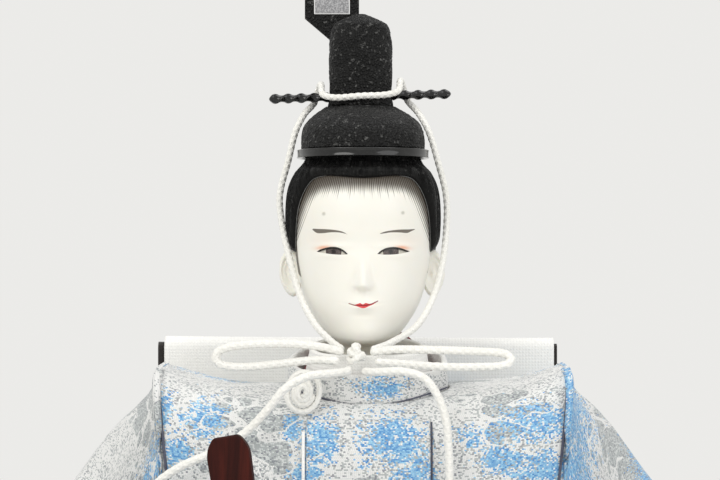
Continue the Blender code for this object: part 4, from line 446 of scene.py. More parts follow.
def crepe(name):
    """Stiff black crinkled gauze with small glints."""
    material, tree, shader = material_tree(name, 0.42, specular=0.22)
    where = object_coordinates(tree)
    cells = node(tree, "TexVoronoi", {"Vector": where, "Scale": 1150.0, "Randomness": 0.8})
    knots = ramp(tree, cells.outputs["Distance"], 0.15, 0.75)
    crinkle = noise(tree, where, 700.0, 3.0, 0.65)
    glint = ramp(tree, crinkle, 0.57, 0.68)
    colour = blend_colour(tree, knots, (0.011, 0.011, 0.011), (0.0015, 0.0015, 0.0015))
    tree.links.new(blend_colour(tree, maths(tree, "MULTIPLY", glint, 0.6), colour, (0.15, 0.15, 0.145)),
                   shader.inputs["Base Color"])
    tree.links.new(maths(tree, "SUBTRACT", 0.55, maths(tree, "MULTIPLY", glint, 0.28)), shader.inputs["Roughness"])
    height = maths(tree, "ADD", maths(tree, "SUBTRACT", 1.0, knots), crinkle)
    tree.links.new(bump(tree, height, 1.0, 0.00045), shader.inputs["Normal"])
    return material


def wood(name, dark, light, grain_axis=2, roughness=0.38, rings=260.0):
    material, tree, shader = material_tree(name, roughness, specular=0.1)
    where = object_coordinates(tree)
    stretch = [rings, rings, rings]
    stretch[grain_axis] = rings * 0.05
    grain = noise(tree, scaled(tree, where, stretch), 1.0, 5.0, 0.6, 0.4)
    pores = noise(tree, scaled(tree, where, [s * 8 for s in stretch]), 1.0, 2.0)
    mix = maths(tree, "MULTIPLY", ramp(tree, grain, 0.32, 0.68), maths(tree, "ADD", 0.6, maths(tree, "MULTIPLY", pores, 0.6)))
    tree.links.new(blend_colour(tree, mix, dark, light), shader.inputs["Base Color"])
    tree.links.new(bump(tree, maths(tree, "ADD", grain, pores), 0.25, 0.0002), shader.inputs["Normal"])
    shader.inputs["Coat Weight"].default_value = 0.02
    shader.inputs["Coat Roughness"].default_value = 0.2
    return material


def metal(name, colour, roughness):
    material, tree, shader = material_tree(name, roughness, metallic=1.0)
    where = object_coordinates(tree)
    wear = noise(tree, where, 500.0, 4.0)
    tree.links.new(blend_colour(tree, ramp(tree, wear, 0.3, 0.75), colour, tuple(c * 0.72 for c in colour)),
                   shader.inputs["Base Color"])
    tree.links.new(maths(tree, "ADD", roughness - 0.05, maths(tree, "MULTIPLY", wear, 0.18)), shader.inputs["Roughness"])
    return material


def gesso():
    """Shell-white of the head and hands, with the painted features of the face where the mesh carries them."""
    material, tree, shader = material_tree("shell_white", 0.48, specular=0.30)
    where = object_coordinates(tree)
    wash = noise(tree, where, 45.0, 3.0)
    base = blend_colour(tree, ramp(tree, wash, 0.35, 0.7), (0.865, 0.847, 0.780), (0.890, 0.877, 0.818))
    line = node(tree, "SeparateColor", {0: node(tree, "Attribute", attribute_name="hairline").outputs["Color"]})
    ink = node(tree, "SeparateColor", {0: node(tree, "Attribute", attribute_name="ink").outputs["Color"]})
    tint = node(tree, "SeparateColor", {0: node(tree, "Attribute", attribute_name="tint").outputs["Color"]})
    # tint: red is blush, green is soft shade, blue is the bare skin of the eye corners
    base = blend_colour(tree, maths(tree, "MULTIPLY", tint.outputs[0], 0.85), base, (0.86, 0.40, 0.24))
    base = blend_colour(tree, maths(tree, "MULTIPLY", tint.outputs[1], 0.22), base, (0.66, 0.60, 0.47))
    # hairline: red runs along the edge in strokes, green is the depth below it over the stroke length
    along = maths(tree, "MULTIPLY", line.outputs[0], 100.0)
    depth = maths(tree, "MULTIPLY", line.outputs[1], 4.0)
    cell = maths(tree, "FLOOR", along)
    chance = node(tree, "TexWhiteNoise", {"W": cell}, noise_dimensions="1D").outputs["Value"]
    spike = maths(tree, "ABSOLUTE", maths(tree, "SUBTRACT", maths(tree, "MULTIPLY", maths(tree, "FRACT", along), 2.0), 1.0))
    length = maths(tree, "ADD", 0.62, maths(tree, "MULTIPLY", chance, 0.45))
    body = maths(tree, "SUBTRACT", 1.0, maths(tree, "DIVIDE", depth, length))
    stroke = ramp(tree, maths(tree, "SUBTRACT", maths(tree, "MULTIPLY", body, 0.95), spike), -0.18, 0.18)
    fade = ramp(tree, depth, 1.15, 0.15)
    wash_ink = maths(tree, "MULTIPLY", ramp(tree, depth, 0.76, 0.20), 0.82)
    hairs = maths(tree, "MAXIMUM", maths(tree, "MULTIPLY", stroke, maths(tree, "ADD", 0.62, maths(tree, "MULTIPLY", fade, 0.38))), wash_ink)
    hairs = maths(tree, "MULTIPLY", hairs, maths(tree, "MULTIPLY", ramp(tree, line.outputs[2], 0.35, 0.65), 1.0))
    base = blend_colour(tree, hairs, base, (0.050, 0.038, 0.027))
    # ink: red brows, green lips, blue the line between the lips
    brow = ramp(tree, ink.outputs[0], 0.38, 0.58)
    base = blend_colour(tree, maths(tree, "MULTIPLY", brow, 0.88), base, (0.075, 0.058, 0.042))
    lips = ramp(tree, ink.outputs[1], 0.49, 0.54)
    base = blend_colour(tree, maths(tree, "MULTIPLY", lips, 0.92), base, (0.70, 0.016, 0.026))
    parting = ramp(tree, ink.outputs[2], 0.47, 0.55)
    base = blend_colour(tree, maths(tree, "MULTIPLY", parting, 0.85), base, (0.22, 0.010, 0.016))
    dots = ramp(tree, tint.outputs[2], 0.12, 0.95)
    base = blend_colour(tree, maths(tree, "MULTIPLY", dots, 0.48), base, (0.26, 0.25, 0.20))
    tree.links.new(base, shader.inputs["Base Color"])
    shader.inputs["Subsurface Weight"].default_value = 0.12
    shader.inputs["Subsurface Radius"].default_value = (0.004, 0.003, 0.002)
    shader.inputs["Subsurface Scale"].default_value = 0.4
    tree.links.new(bump(tree, noise(tree, where, 1400.0, 2.0), 0.05, 0.0001), shader.inputs["Normal"])
    return material


def silk_hair(name):
    """Black combed floss: strands run along the V of the mesh."""
    material, tree, shader = material_tree(name, 0.34, specular=0.16)
    where = cloth_coordinates(tree)
    strands = noise(tree, scaled(tree, where, (5200, 45, 1)), 1.0, 2.0, 0.7)
    locks = noise(tree, scaled(tree, where, (900, 20, 1)), 1.0, 2.0)
    tree.links.new(blend_colour(tree, ramp(tree, strands, 0.35, 0.75), (0.0016, 0.0016, 0.0016), (0.011, 0.0105, 0.010)),
                   shader.inputs["Base Color"])
    tree.links.new(maths(tree, "ADD", 0.26, maths(tree, "MULTIPLY", strands, 0.2)), shader.inputs["Roughness"])
    tree.links.new(bump(tree, maths(tree, "ADD", strands, maths(tree, "MULTIPLY", locks, 0.6)), 0.9, 0.0003),
                   shader.inputs["Normal"])
    return material


def eye_look():
    """Dark glass iris in a pale ball, shaded under the upper lid."""
    material, tree, shader = material_tree("eye_look", 0.25, specular=0.25)
    part = node(tree, "SeparateColor", {0: node(tree, "Attribute", attribute_name="eye").outputs["Color"]})
    streaks = noise(tree, object_coordinates(tree), 2500.0, 2.0)
    white = blend_colour(tree, ramp(tree, streaks, 0.3, 0.7), (0.52, 0.50, 0.44), (0.64, 0.61, 0.54))
    iris = blend_colour(tree, ramp(tree, streaks, 0.3, 0.7), (0.060, 0.044, 0.042), (0.130, 0.105, 0.100))
    colour = blend_colour(tree, ramp(tree, part.outputs[0], 0.46, 0.56), white, iris)
    colour = blend_colour(tree, ramp(tree, part.outputs[1], 0.25, 0.75), colour, (0.004, 0.003, 0.003))
    tree.links.new(colour, shader.inputs["Base Color"])
    shader.inputs["Coat Weight"].default_value = 0.25
    shader.inputs["Coat Roughness"].default_value = 0.03
    return material


def gauze(name):
    """Fine pale grey net."""
    material, tree, shader = material_tree(name, 0.7, specular=0.3)
    where = object_coordinates(tree)
    net = weave_height(tree, where, 0.00045)
    holes = ramp(tree, noise(tree, where, 1900.0, 1.0), 0.42, 0.62)
    tree.links.new(blend_colour(tree, maths(tree, "ADD", maths(tree, "MULTIPLY", net, 0.5), maths(tree, "MULTIPLY", holes, 0.5)),
                                (0.24, 0.24, 0.25), (0.62, 0.62, 0.63)), shader.inputs["Base Color"])
    tree.links.new(bump(tree, net, 0.8, 0.0003), shader.inputs["Normal"])
    return material


def straw_look(name):
    material, tree, shader = material_tree(name, 0.85)
    where = object_coordinates(tree)
    stalks = noise(tree, scaled(tree, where, (900, 900, 25)), 1.0, 3.0, 0.6)
    tree.links.new(blend_colour(tree, ramp(tree, stalks, 0.3, 0.7), (0.34, 0.24, 0.10), (0.70, 0.56, 0.32)),
                   shader.inputs["Base Color"])
    tree.links.new(bump(tree, stalks, 0.9, 0.0008), shader.inputs["Normal"])
    return material


LOOKS = {
    "brocade": brocade(),
    "white_silk": plain_cloth("white_silk_look", (0.97, 0.965, 0.94), (0.92, 0.915, 0.89), sheen=0.1),
    "red_silk": plain_cloth("red_silk_look", (0.20, 0.012, 0.020), (0.10, 0.006, 0.011)),
    "dark_silk": plain_cloth("dark_silk_look", (0.022, 0.018, 0.015), (0.010, 0.008, 0.007)),
    "white_brocade": plain_cloth("white_brocade_look", (0.84, 0.83, 0.80), (0.70, 0.69, 0.66), 0.6, 0.0007),
    "sash": plain_cloth("sash_look", (0.085, 0.070, 0.22), (0.045, 0.036, 0.13), 0.6, 0.0006),
    "cord": plain_cloth("cord_look", (0.925, 0.915, 0.88), (0.84, 0.83, 0.78), 0.7, 0.0004, 0.2),
    "wadding": plain_cloth("wadding_look", (0.80, 0.77, 0.69), (0.66, 0.62, 0.53), 0.9, 0.0009, 0.2, object_coordinates),
    "leather": lacquer("belt_look", (0.010, 0.009, 0.008), 0.26),
    "lacquer": lacquer("black_lacquer_look", (0.006, 0.006, 0.006)),
    "crown_lacquer": lacquer("crown_lacquer_look", (0.004, 0.004, 0.004), 0.10, 0.25),
    "crepe": crepe("crown_crepe_look"),
    "shaku": wood("shaku_look", (0.020, 0.0035, 0.0025), (0.062, 0.010, 0.006), 2, 0.5),
    "plain_wood": wood("plain_wood_look", (0.48, 0.33, 0.19), (0.72, 0.56, 0.37), 0, 0.6, 180.0),
    "gilt": metal("gilt_look", (0.83, 0.60, 0.24), 0.26),
    "steel": metal("steel_look", (0.72, 0.73, 0.74), 0.2),
    "rayskin": plain_cloth("rayskin_look", (0.83, 0.80, 0.71), (0.62, 0.58, 0.48), 0.5, 0.0011, 0.0, object_coordinates),
    "gesso": gesso(),
    "hair": silk_hair("hair_look"),
    "eye": eye_look(),
    "gauze": gauze("gauze_look"),
    "straw": straw_look("straw_look"),
}


# Braided cords

def smooth_route(route, count):
    """Evenly spaced points on a smooth curve through the route."""
    route = np.array(route, float)
    travelled = np.concatenate([[0], np.cumsum(np.linalg.norm(np.diff(route, axis=0), axis=1))])
    for _ in range(2):
        dense = np.stack(read_table(np.column_stack([travelled, route]), shares(600, 0, travelled[-1])), 1)
        length = np.concatenate([[0], np.cumsum(np.linalg.norm(np.diff(dense, axis=0), axis=1))])
    even = shares(count, 0, length[-1])
    return np.stack([np.interp(even, length, dense[:, axis]) for axis in range(3)], 1), length[-1]


def braid(name, route, radius, strands=4, pitch=None, sides=20, material=None, ends=(0.0, 0.0)):
    """A round plait: two families of strands wind against each other along the route."""
    pitch = pitch or radius * 2.0
    places, length = smooth_route(route, max(int(length_of(route) / 0.00026), 12))
    tangent = np.gradient(places, axis=0)
    tangent /= np.linalg.norm(tangent, axis=1, keepdims=True)
    side = np.cross(tangent[0], (0.0, 0.0, 1.0) if abs(tangent[0][2]) < 0.9 else (0.0, 1.0, 0.0))
    frames = []
    for direction in tangent:
        side = side - direction * (side @ direction)
        side /= np.linalg.norm(side)
        frames.append(side.copy())
    side = np.array(frames)
    top = np.cross(tangent, side)
    along = shares(len(places), 0, length)
    angle = math.tau * np.arange(sides) / sides
    turn = math.tau * along[:, None] / pitch
    first = np.cos(strands * (angle[None] + turn / strands))
    second = np.cos(strands * (angle[None] - turn / strands) + math.pi)
    lift = np.maximum(first, second)
    edge = np.minimum(along, length - along)[:, None]
    rounding = np.sqrt(np.clip(1 - (1 - np.clip(edge / radius, 0, 1)) ** 2, 0.02, 1))
    reach = radius * (0.90 + 0.13 * lift) * rounding
    ring = (places[:, None] + side[:, None] * (np.cos(angle)[None, :, None] * reach[..., None])
            + top[:, None] * (np.sin(angle)[None, :, None] * reach[..., None]))
    obj = capped_grid(name, ring, material or LOOKS["cord"], None)
    return obj, places, length


def length_of(route):
    return float(np.linalg.norm(np.diff(np.array(route, float), axis=0), axis=1).sum())


HEAD_SIZE = np.array((0.0208, 0.0240, 0.0630))
CHIN = 0.1580
CHEST_SIZE = np.array((0.0615, 0.0380, 0.1505))
NECK_SEAT = 0.1360
CORD_RADIUS = 0.0010
BOW_RADIUS = 0.0012

CROWN_CORD = (
    (-0.0058, -0.0292, 0.1568), (-0.0094, -0.0252, 0.1592), (-0.0143, -0.0194, 0.1640),
    (-0.0188, -0.0122, 0.1722), (-0.0218, -0.0072, 0.1820), (-0.0242, -0.0038, 0.1920),
    (-0.0252, -0.0020, 0.2020), (-0.0226, -0.0005, 0.2130), (-0.0206, 0.0020, 0.2215),
    (-0.0180, 0.0062, 0.2272), (-0.0150, 0.0118, 0.2312), (-0.0135, 0.0104, 0.2358),
    (-0.0128, 0.0062, 0.2362), (-0.0122, 0.0018, 0.2330), (-0.0085, -0.0014, 0.2318),
    (-0.0007, -0.0030, 0.2322), (0.0071, -0.0014, 0.2327), (0.0108, 0.0018, 0.2342),
    (0.0114, 0.0062, 0.2374), (0.0121, 0.0104, 0.2370), (0.0136, 0.0118, 0.2322),
    (0.0170, 0.0062, 0.2276), (0.0200, 0.0020, 0.2218), (0.0226, -0.0005, 0.2130),
    (0.0252, -0.0020, 0.2020), (0.0252, -0.0036, 0.1920), (0.0240, -0.0060, 0.1820),
    (0.0212, -0.0100, 0.1720), (0.0160, -0.0175, 0.1634), (0.0080, -0.0246, 0.1586),
    (0.0024, -0.0292, 0.1568),
)
BOW_RIGHT = (
    (-0.0056, -0.0318, 0.1562), (-0.0130, -0.0326, 0.1580), (-0.0240, -0.0328, 0.1588),
    (-0.0360, -0.0324, 0.1582), (-0.0412, -0.0322, 0.1568), (-0.0425, -0.0322, 0.1547),
    (-0.0408, -0.0322, 0.1527), (-0.0340, -0.0326, 0.1521), (-0.0240, -0.0332, 0.1530),
    (-0.0140, -0.0336, 0.1541), (-0.0068, -0.0342, 0.1538),
)
BOW_LEFT = (
    (0.0020, -0.0316, 0.1562), (0.0090, -0.0312, 0.1570), (0.0220, -0.0304, 0.1568),
    (0.0350, -0.0300, 0.1563), (0.0410, -0.0302, 0.1557), (0.0427, -0.0312, 0.1541),
    (0.0410, -0.0322, 0.1526), (0.0340, -0.0328, 0.1521), (0.0220, -0.0332, 0.1522),
    (0.0110, -0.0336, 0.1530), (0.0034, -0.0338, 0.1536),
)
TAIL_RIGHT = (
    (-0.0036, -0.0328, 0.1513), (-0.0056, -0.0356, 0.1508), (-0.0090, -0.0378, 0.1506),
    (-0.0160, -0.0404, 0.1498), (-0.0222, -0.0415, 0.1464), (-0.0265, -0.0412, 0.1412),
    (-0.0318, -0.0405, 0.1355), (-0.0378, -0.0402, 0.1308), (-0.0446, -0.0400, 0.1274),
    (-0.0510, -0.0392, 0.1246), (-0.0570, -0.0376, 0.1208), (-0.0630, -0.0366, 0.1150),
)
TAIL_LEFT = (
    (0.0000, -0.0328, 0.1509), (0.0022, -0.0356, 0.1508), (0.0054, -0.0378, 0.1510),
    (0.0115, -0.0398, 0.1512), (0.0172, -0.0404, 0.1494), (0.0210, -0.0412, 0.1446),
    (0.0234, -0.0418, 0.1376), (0.0242, -0.0420, 0.1290), (0.0244, -0.0420, 0.1190),
    (0.0242, -0.0420, 0.1080), (0.0238, -0.0418, 0.0980), (0.0232, -0.0416, 0.0880),
)
KNOT = (-0.0018, -0.0315, 0.1557)


def add_cords():
    for name, route, radius, body in (
            ("crown_cord", CROWN_CORD, CORD_RADIUS, "head"),
            ("bow_loop_right", BOW_RIGHT, BOW_RADIUS, "head"),
            ("bow_loop_left", BOW_LEFT, BOW_RADIUS, "head"),
            ("cord_tail_right", TAIL_RIGHT, BOW_RADIUS, "neck"),
            ("cord_tail_left", TAIL_LEFT, BOW_RADIUS, "neck")):
        obj, places, length = braid("braided_" + name, route, radius)
        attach(obj, body)
        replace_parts(obj, name)


add_cords()


# Knot under the chin, of three turns of the same plait

def add_knot():
    centre = np.array(KNOT)
    pieces = []
    for number, (tilt, wide, deep, high, sink) in enumerate((
            (18, 0.0021, 0.0014, 0.0021, 0.0), (-32, 0.0020, 0.0013, 0.0019, 0.0002), (86, 0.0016, 0.0012, 0.0021, 0.0))):
        turn = math.radians(tilt)
        angle = shares(30, 0, math.tau * 0.98)
        ring = np.stack([np.cos(angle) * wide, -np.sin(angle) * deep, np.sin(angle * 2) * 0.0004], 1)
        ring[:, 2] += np.cos(angle) * 0.0002 * number
        cos, sin = math.cos(turn), math.sin(turn)
        x = ring[:, 0] * cos - ring[:, 2] * sin
        z = ring[:, 0] * sin + ring[:, 2] * cos + (number - 1) * 0.0011
        route = centre + np.stack([x, ring[:, 1] + sink, z], 1)
        pieces.append(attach(braid("knot_turn_{}".format(number), route, 0.00105)[0], "head"))
    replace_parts(pieces[0], "chin_knot")


add_knot()



# Head

HEAD_TABLE = (
    (-0.345, 0.385, 0.333, 0.320), (-0.120, 0.385, 0.333, 0.320), (-0.020, 0.390, 0.400, 0.330),
    (0.000, 0.400, 0.790, 0.340), (0.030, 0.520, 0.915, 0.370), (0.110, 0.705, 0.945, 0.420),
    (0.200, 0.845, 0.955, 0.580), (0.350, 0.955, 0.965, 0.850), (0.500, 1.000, 0.965, 0.980),
    (0.640, 0.990, 1.000, 1.000), (0.770, 0.890, 0.930, 0.930), (0.860, 0.720, 0.730, 0.770),
    (0.950, 0.460, 0.480, 0.520), (1.000, 0.120, 0.140, 0.140),
)
MM = 0.001
SIDEBURNS = (((-24, 190), (-20.0, 190), (-19.75, 186), (-19.35, 182), (-18.5, 177.4), (-19.6, 178.5), (-24, 181)),
             ((24, 190), (20.4, 190), (20.3, 184), (19.95, 181), (19.4, 178.6), (20.3, 179.5), (24, 181)))
EYE_RIGHT = ((-13.65, 185.15), (-12.5, 185.75), (-11.2, 186.15), (-9.6, 186.45), (-8.0, 186.42), (-6.6, 186.02),
             (-5.5, 185.35), (-4.45, 184.42), (-5.4, 184.32), (-6.8, 184.30), (-8.4, 184.38), (-10.1, 184.55),
             (-12.0, 184.86))
EYE_LEFT = ((4.20, 184.48), (5.2, 185.35), (6.4, 185.98), (8.0, 186.36), (9.6, 186.38), (11.2, 186.08),
            (12.6, 185.62), (13.75, 185.22), (12.2, 184.82), (10.4, 184.50), (8.7, 184.34), (7.0, 184.30),
            (5.5, 184.36))
BROW_RIGHT = ((-15.0, 191.85), (-13.2, 191.85), (-10.2, 191.72), (-7.6, 191.42), (-5.9, 191.0), (-4.5, 190.25),
              (-5.8, 190.60), (-7.4, 190.85), (-9.4, 190.86), (-11.8, 190.62), (-13.7, 190.72))
BROW_LEFT = ((4.7, 190.38), (6.4, 191.05), (8.4, 191.42), (11.2, 191.68), (13.4, 191.72), (15.45, 191.8),
             (14.1, 191.15), (13.0, 190.68), (10.8, 190.82), (8.0, 190.82), (6.2, 190.55))
LIPS = ((-4.0, 169.95), (-2.6, 169.7), (-1.5, 169.95), (-0.85, 170.2), (-0.1, 169.78), (0.75, 170.2), (1.9, 169.95),
        (3.1, 170.25), (4.15, 170.6), (2.9, 169.75), (1.7, 169.25), (0.9, 168.85), (0.1, 168.66), (-0.7, 168.8),
        (-1.8, 169.2), (-2.9, 169.5))
PARTING = ((-4.15, 170.02), (-2.8, 169.58), (-1.5, 169.42), (-0.5, 169.5), (0.1, 169.36), (1.0, 169.5), (2.6, 169.92),
           (4.3, 170.72))


def polygon_field(x, z, outline, soft):
    """0.5 on the outline, towards 1 inside and 0 outside, over a soft width; all in millimetres."""
    outline = smooth_loop(outline)
    distance, inside = outline_distance(x, z, outline)
    return np.clip(0.5 + np.where(inside, distance, -distance) / soft, 0, 1)


def smooth_loop(outline, count=12):
    outline = np.array(outline, float)
    before, after = np.roll(outline, 1, 0), np.roll(outline, -1, 0)
    return np.concatenate([outline, after, before], 1)[:, :2] if count < 2 else outline


def outline_distance(x, z, outline, closed=True):
    best = np.full(x.shape, 1e9)
    inside = np.zeros(x.shape, bool)
    pairs = list(zip(outline, np.roll(outline, -1, 0))) if closed else list(zip(outline[:-1], outline[1:]))
    for (ax, az), (bx, bz) in pairs:
        dx, dz = bx - ax, bz - az
        t = np.clip(((x - ax) * dx + (z - az) * dz) / (dx * dx + dz * dz), 0, 1)
        best = np.minimum(best, np.hypot(x - ax - t * dx, z - az - t * dz))
        if closed and az != bz:
            crossing = ((az > z) != (bz > z)) & (x < (bx - ax) * (z - az) / (bz - az) + ax)
            inside ^= crossing
    return best, inside


def rounded_outline(outline, count=120):
    """A closed smooth curve through the points."""
    outline = np.array(outline, float)
    padded = np.concatenate([outline[-3:], outline, outline[:4]])
    travelled = np.concatenate([[0], np.cumsum(np.linalg.norm(np.diff(padded, axis=0), axis=1))])
    along = np.linspace(travelled[3], travelled[3 + len(outline)], count, endpoint=False)
    return np.stack(read_table(np.column_stack([travelled, padded]), along), 1)


def almond(points, corners):
    """The eye outline: two smooth arcs that meet in sharp corners."""
    points = np.array(points, float)
    arcs = []
    for start, end in ((corners[0], corners[1]), (corners[1], corners[0] + len(points))):
        arc = points[np.arange(start, end + 1) % len(points)]
        travelled = np.concatenate([[0], np.cumsum(np.linalg.norm(np.diff(arc, axis=0), axis=1))])
        along = np.linspace(0, travelled[-1], 50, endpoint=False)
        arcs.append(np.stack(read_table(np.column_stack([travelled, arc]), along), 1))
    return arcs


EYES = {"right": almond(EYE_RIGHT, (0, 7)), "left": almond(EYE_LEFT, (0, 7))}


def head_radius(angle, height):
    """The head's surface from the neck axis, as in the part, with finer relief of the face."""
    share = (height - CHIN) / HEAD_SIZE[2]
    width, front, back = read_table(HEAD_TABLE, share)
    facing = np.cos(angle) > 0
    half_width = width * HEAD_SIZE[0]
    half_depth = np.where(facing, front * HEAD_SIZE[1], back * 0.0250)
    power = 2.0 + 0.15 * soft_step(share * 4)
    radius = (np.abs(np.sin(angle) / half_width) ** power + np.abs(np.cos(angle) / half_depth) ** power) ** (-1 / power)
    x = radius * np.sin(angle) / MM
    z = height / MM
    return radius + np.where(facing, face_relief(x, z), 0.0) * MM


def face_relief(x, z):
    """Nose, sockets, lids, mouth and chin, in millimetres outwards."""
    bell = lambda value, size: np.exp(-(value / size) ** 2)
    rise = (z - 175.5) / 9.9
    along = np.where(rise > 0, bell(rise, 0.62), bell(rise, 0.17))
    width = 1.45 + 0.75 * np.clip(1 - rise, 0, 1)
    nose = 2.9 * along * bell(x, width)
    nose += 0.16 * (bell(x - 2.15, 1.05) + bell(x + 2.15, 1.05)) * bell(z - 175.5, 1.25)
    nose -= 0.35 * (bell(x - 1.5, 0.55) + bell(x + 1.5, 0.55)) * bell(z - 173.9, 0.5)
    lips = 0.75 * bell(x, 4.0) * bell(z - 169.6, 2.0) + 0.30 * bell(x, 2.4) * (bell(z - 170.2, 0.55) + bell(z - 168.8, 0.6))
    lips -= 0.22 * bell(x, 4.4) * bell(z - 169.45 - 0.045 * np.abs(x) ** 1.5, 0.28)
    lips -= 0.16 * bell(x, 0.6) * bell(z - 171.8, 1.2) + 0.30 * bell(x, 2.8) * bell(z - 166.6, 0.9)
    chin = 0.35 * bell(x, 4.2) * bell(z - 162.0, 2.6)
    eyes = 0.0
    for centre in (-9.05, 9.0):
        eyes = eyes - 0.55 * bell(x - centre, 6.0) * bell(z - 187.6, 2.6) + 0.50 * bell(x - centre, 4.6) * bell(z - 186.9, 0.9)
        eyes = eyes + 0.28 * bell(x - centre, 4.2) * bell(z - 183.9, 0.9)
        eyes = eyes + 0.22 * bell(x - centre, 5.5) * bell(z - 191.0, 1.5)
    bridge = -0.25 * bell(x, 3.0) * bell(z - 187.0, 2.4)
    return nose + lips + chin + eyes + bridge


def head_place(x, z, lift=0.0):
    """A point of the face in front of x and z, in millimetres."""
    angle = np.arcsin(np.clip(x / 24.0, -0.99, 0.99))
    for _ in range(12):
        radius = head_radius(angle, z * MM) / MM
        angle = np.arcsin(np.clip(x / radius, -0.99, 0.99))
    return np.stack([x * MM, -(radius * np.cos(angle) + lift) * MM, z * MM], -1)


def hairline_fields(x, z):
    """Where a point lies along the painted hairline, and how deep below it, over the stroke length there."""
    q = ((np.abs(x) / 20.9) ** 4 + (np.maximum(z - 180.0, 0) / 26.8) ** 4) ** 0.25
    depth = (1 - q) * 25.0
    around = np.arctan2(x, z - 178.0)
    along = x + 0.40 * (z - 200.0) * np.clip(x / 14.0, -1, 1)
    reach = np.interp(np.abs(around), (0.0, 0.3, 0.45, 0.6, 0.75, 0.9, 1.06, 1.2, 1.5),
                      (5.8, 5.8, 4.7, 4.6, 4.9, 4.1, 2.4, 1.0, 0.6))
    shown = soft_step((z - 173.5) / 2.0)
    return along, depth / reach, shown


def colour_layer(mesh, name, red, green, blue):
    layer = mesh.color_attributes.new(name, "FLOAT_COLOR", "POINT")
    data = np.ones((len(mesh.vertices), 4), np.float32)
    for channel, value in enumerate((red, green, blue)):
        data[:, channel] = value
    layer.data.foreach_set("color", data.reshape(-1))


def add_head():
    rows = np.concatenate([shares(60, NECK_SEAT + 0.0003, 0.1575)[:-1], shares(190, 0.1575, 0.2000)[:-1],
                           shares(60, 0.2000, 0.2210 - 0.0012)])
    turn = math.tau * np.arange(380) / 380 - math.pi
    angle = turn - 0.48 * np.sin(turn)
    height, angle = np.meshgrid(rows, angle, indexing="ij")
    radius = head_radius(angle, height)
    points = np.stack([radius * np.sin(angle), -radius * np.cos(angle), height], 2)
    flat = points.reshape(-1, 3)
    x, z = flat[:, 0] / MM, flat[:, 2] / MM
    front = flat[:, 1] < -0.005
    columns = points.shape[1]
    row, column = np.meshgrid(np.arange(len(rows) - 1), np.arange(columns), indexing="ij")
    row, column = row.reshape(-1), column.reshape(-1)
    right = (column + 1) % columns
    faces = np.stack([row * columns + column, row * columns + right, (row + 1) * columns + right,
                      (row + 1) * columns + column], 1)
    hole = np.zeros(len(faces), bool)
    middle_x, middle_z = x[faces].mean(1), z[faces].mean(1)
    for arcs in EYES.values():
        outline = np.concatenate(arcs)
        near = (np.abs(middle_x - outline[:, 0].mean()) < 7) & (np.abs(middle_z - 185.4) < 4) & front[faces[:, 0]]
        inside = np.zeros(len(faces), bool)
        inside[near] = outline_distance(middle_x[near], middle_z[near], outline)[1]
        rim = np.intersect1d(faces[inside], faces[~inside])
        dense = np.concatenate([outline, (outline + np.roll(outline, -1, 0)) / 2])
        gap = np.hypot(x[rim][:, None] - dense[None, :, 0], z[rim][:, None] - dense[None, :, 1])
        nearest = dense[gap.argmin(1)]
        x[rim], z[rim] = nearest[:, 0], nearest[:, 1]
        flat[rim] = head_place(nearest[:, 0], nearest[:, 1])
        hole |= inside
    keep = ~hole & front[faces].all(1) | ~front[faces].all(1)
    obj = grid_piece("gesso_head", points, LOOKS["gesso"], None, closed=True, keep=keep & ~hole)
    mesh = obj.data
    place = np.empty(len(mesh.vertices) * 3)
    mesh.vertices.foreach_get("co", place)
    place = place.reshape(-1, 3)
    x, z, front = place[:, 0] / MM, place[:, 2] / MM, place[:, 1] < -0.002
    along, depth, shown = hairline_fields(x, z)
    colour_layer(mesh, "hairline", along / 0.62 / 100.0 + 0.5, np.where(front, np.clip(depth, 0, 4) / 4, 1.0),
                 shown * front)
    brows = np.maximum(polygon_field(x, z, rounded_outline(BROW_RIGHT), 0.5), polygon_field(x, z, rounded_outline(BROW_LEFT), 0.5))
    for burn in SIDEBURNS:
        brows = np.maximum(brows, polygon_field(x, z, np.array(burn), 0.9))
    lips = polygon_field(x, z, rounded_outline(LIPS), 0.6)
    parting = np.clip(0.5 + (0.17 - outline_distance(x, z, np.array(PARTING), False)[0]) / 0.45, 0, 1)
    lids = 0.0
    blush = 0.0
    for side, sign in (("right", -1), ("left", 1)):
        upper = EYES[side][0]
        line = np.clip(0.5 + (0.17 - outline_distance(x, z, upper, False)[0]) / 0.45, 0, 1)
        lids = np.maximum(lids, line)
        blush = blush + np.exp(-((x - sign * 11.7) / 2.0) ** 2 - ((z - 186.3 - 0.10 * (12.3 - np.abs(x))) / 0.55) ** 2)
        blush = blush + 0.09 * np.exp(-((x - sign * 12.5) / 4.0) ** 2 - ((z - 188.4) / 2.4) ** 2)
    dots = sum(np.exp(-(((x - across) / 0.62) ** 2 + ((z - up) / 0.62) ** 2)) for across, up in ((-11.55, 196.3), (11.7, 196.6)))
    colour_layer(mesh, "ink", brows * front, lips * front, np.maximum(parting, 0) * front)
    shade = 0.7 * np.exp(-(x / 2.4) ** 2 - ((z - 173.9) / 0.6) ** 2) + 0.5 * np.exp(-(x / 2.6) ** 2 - ((z - 166.4) / 0.9) ** 2)
    colour_layer(mesh, "tint", np.clip(blush, 0, 1) * front, np.clip(shade, 0, 1) * front, np.clip(dots, 0, 1) * front)
    colour_layer(mesh, "lid", lids * front, 0, 0)
    work = bmesh.new()
    work.from_mesh(mesh)
    rim = [edge for edge in work.edges if edge.is_boundary and abs(edge.verts[0].co.z - 0.1854) < 0.004]
    made = bmesh.ops.extrude_edge_only(work, edges=rim)["geom"]
    for vert in made:
        if isinstance(vert, bmesh.types.BMVert):
            vert.co.y += 0.0007
    work.to_mesh(mesh)
    work.free()
    mesh.polygons.foreach_set("use_smooth", [True] * len(mesh.polygons))
    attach(obj, "head")
    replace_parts(obj, "head")


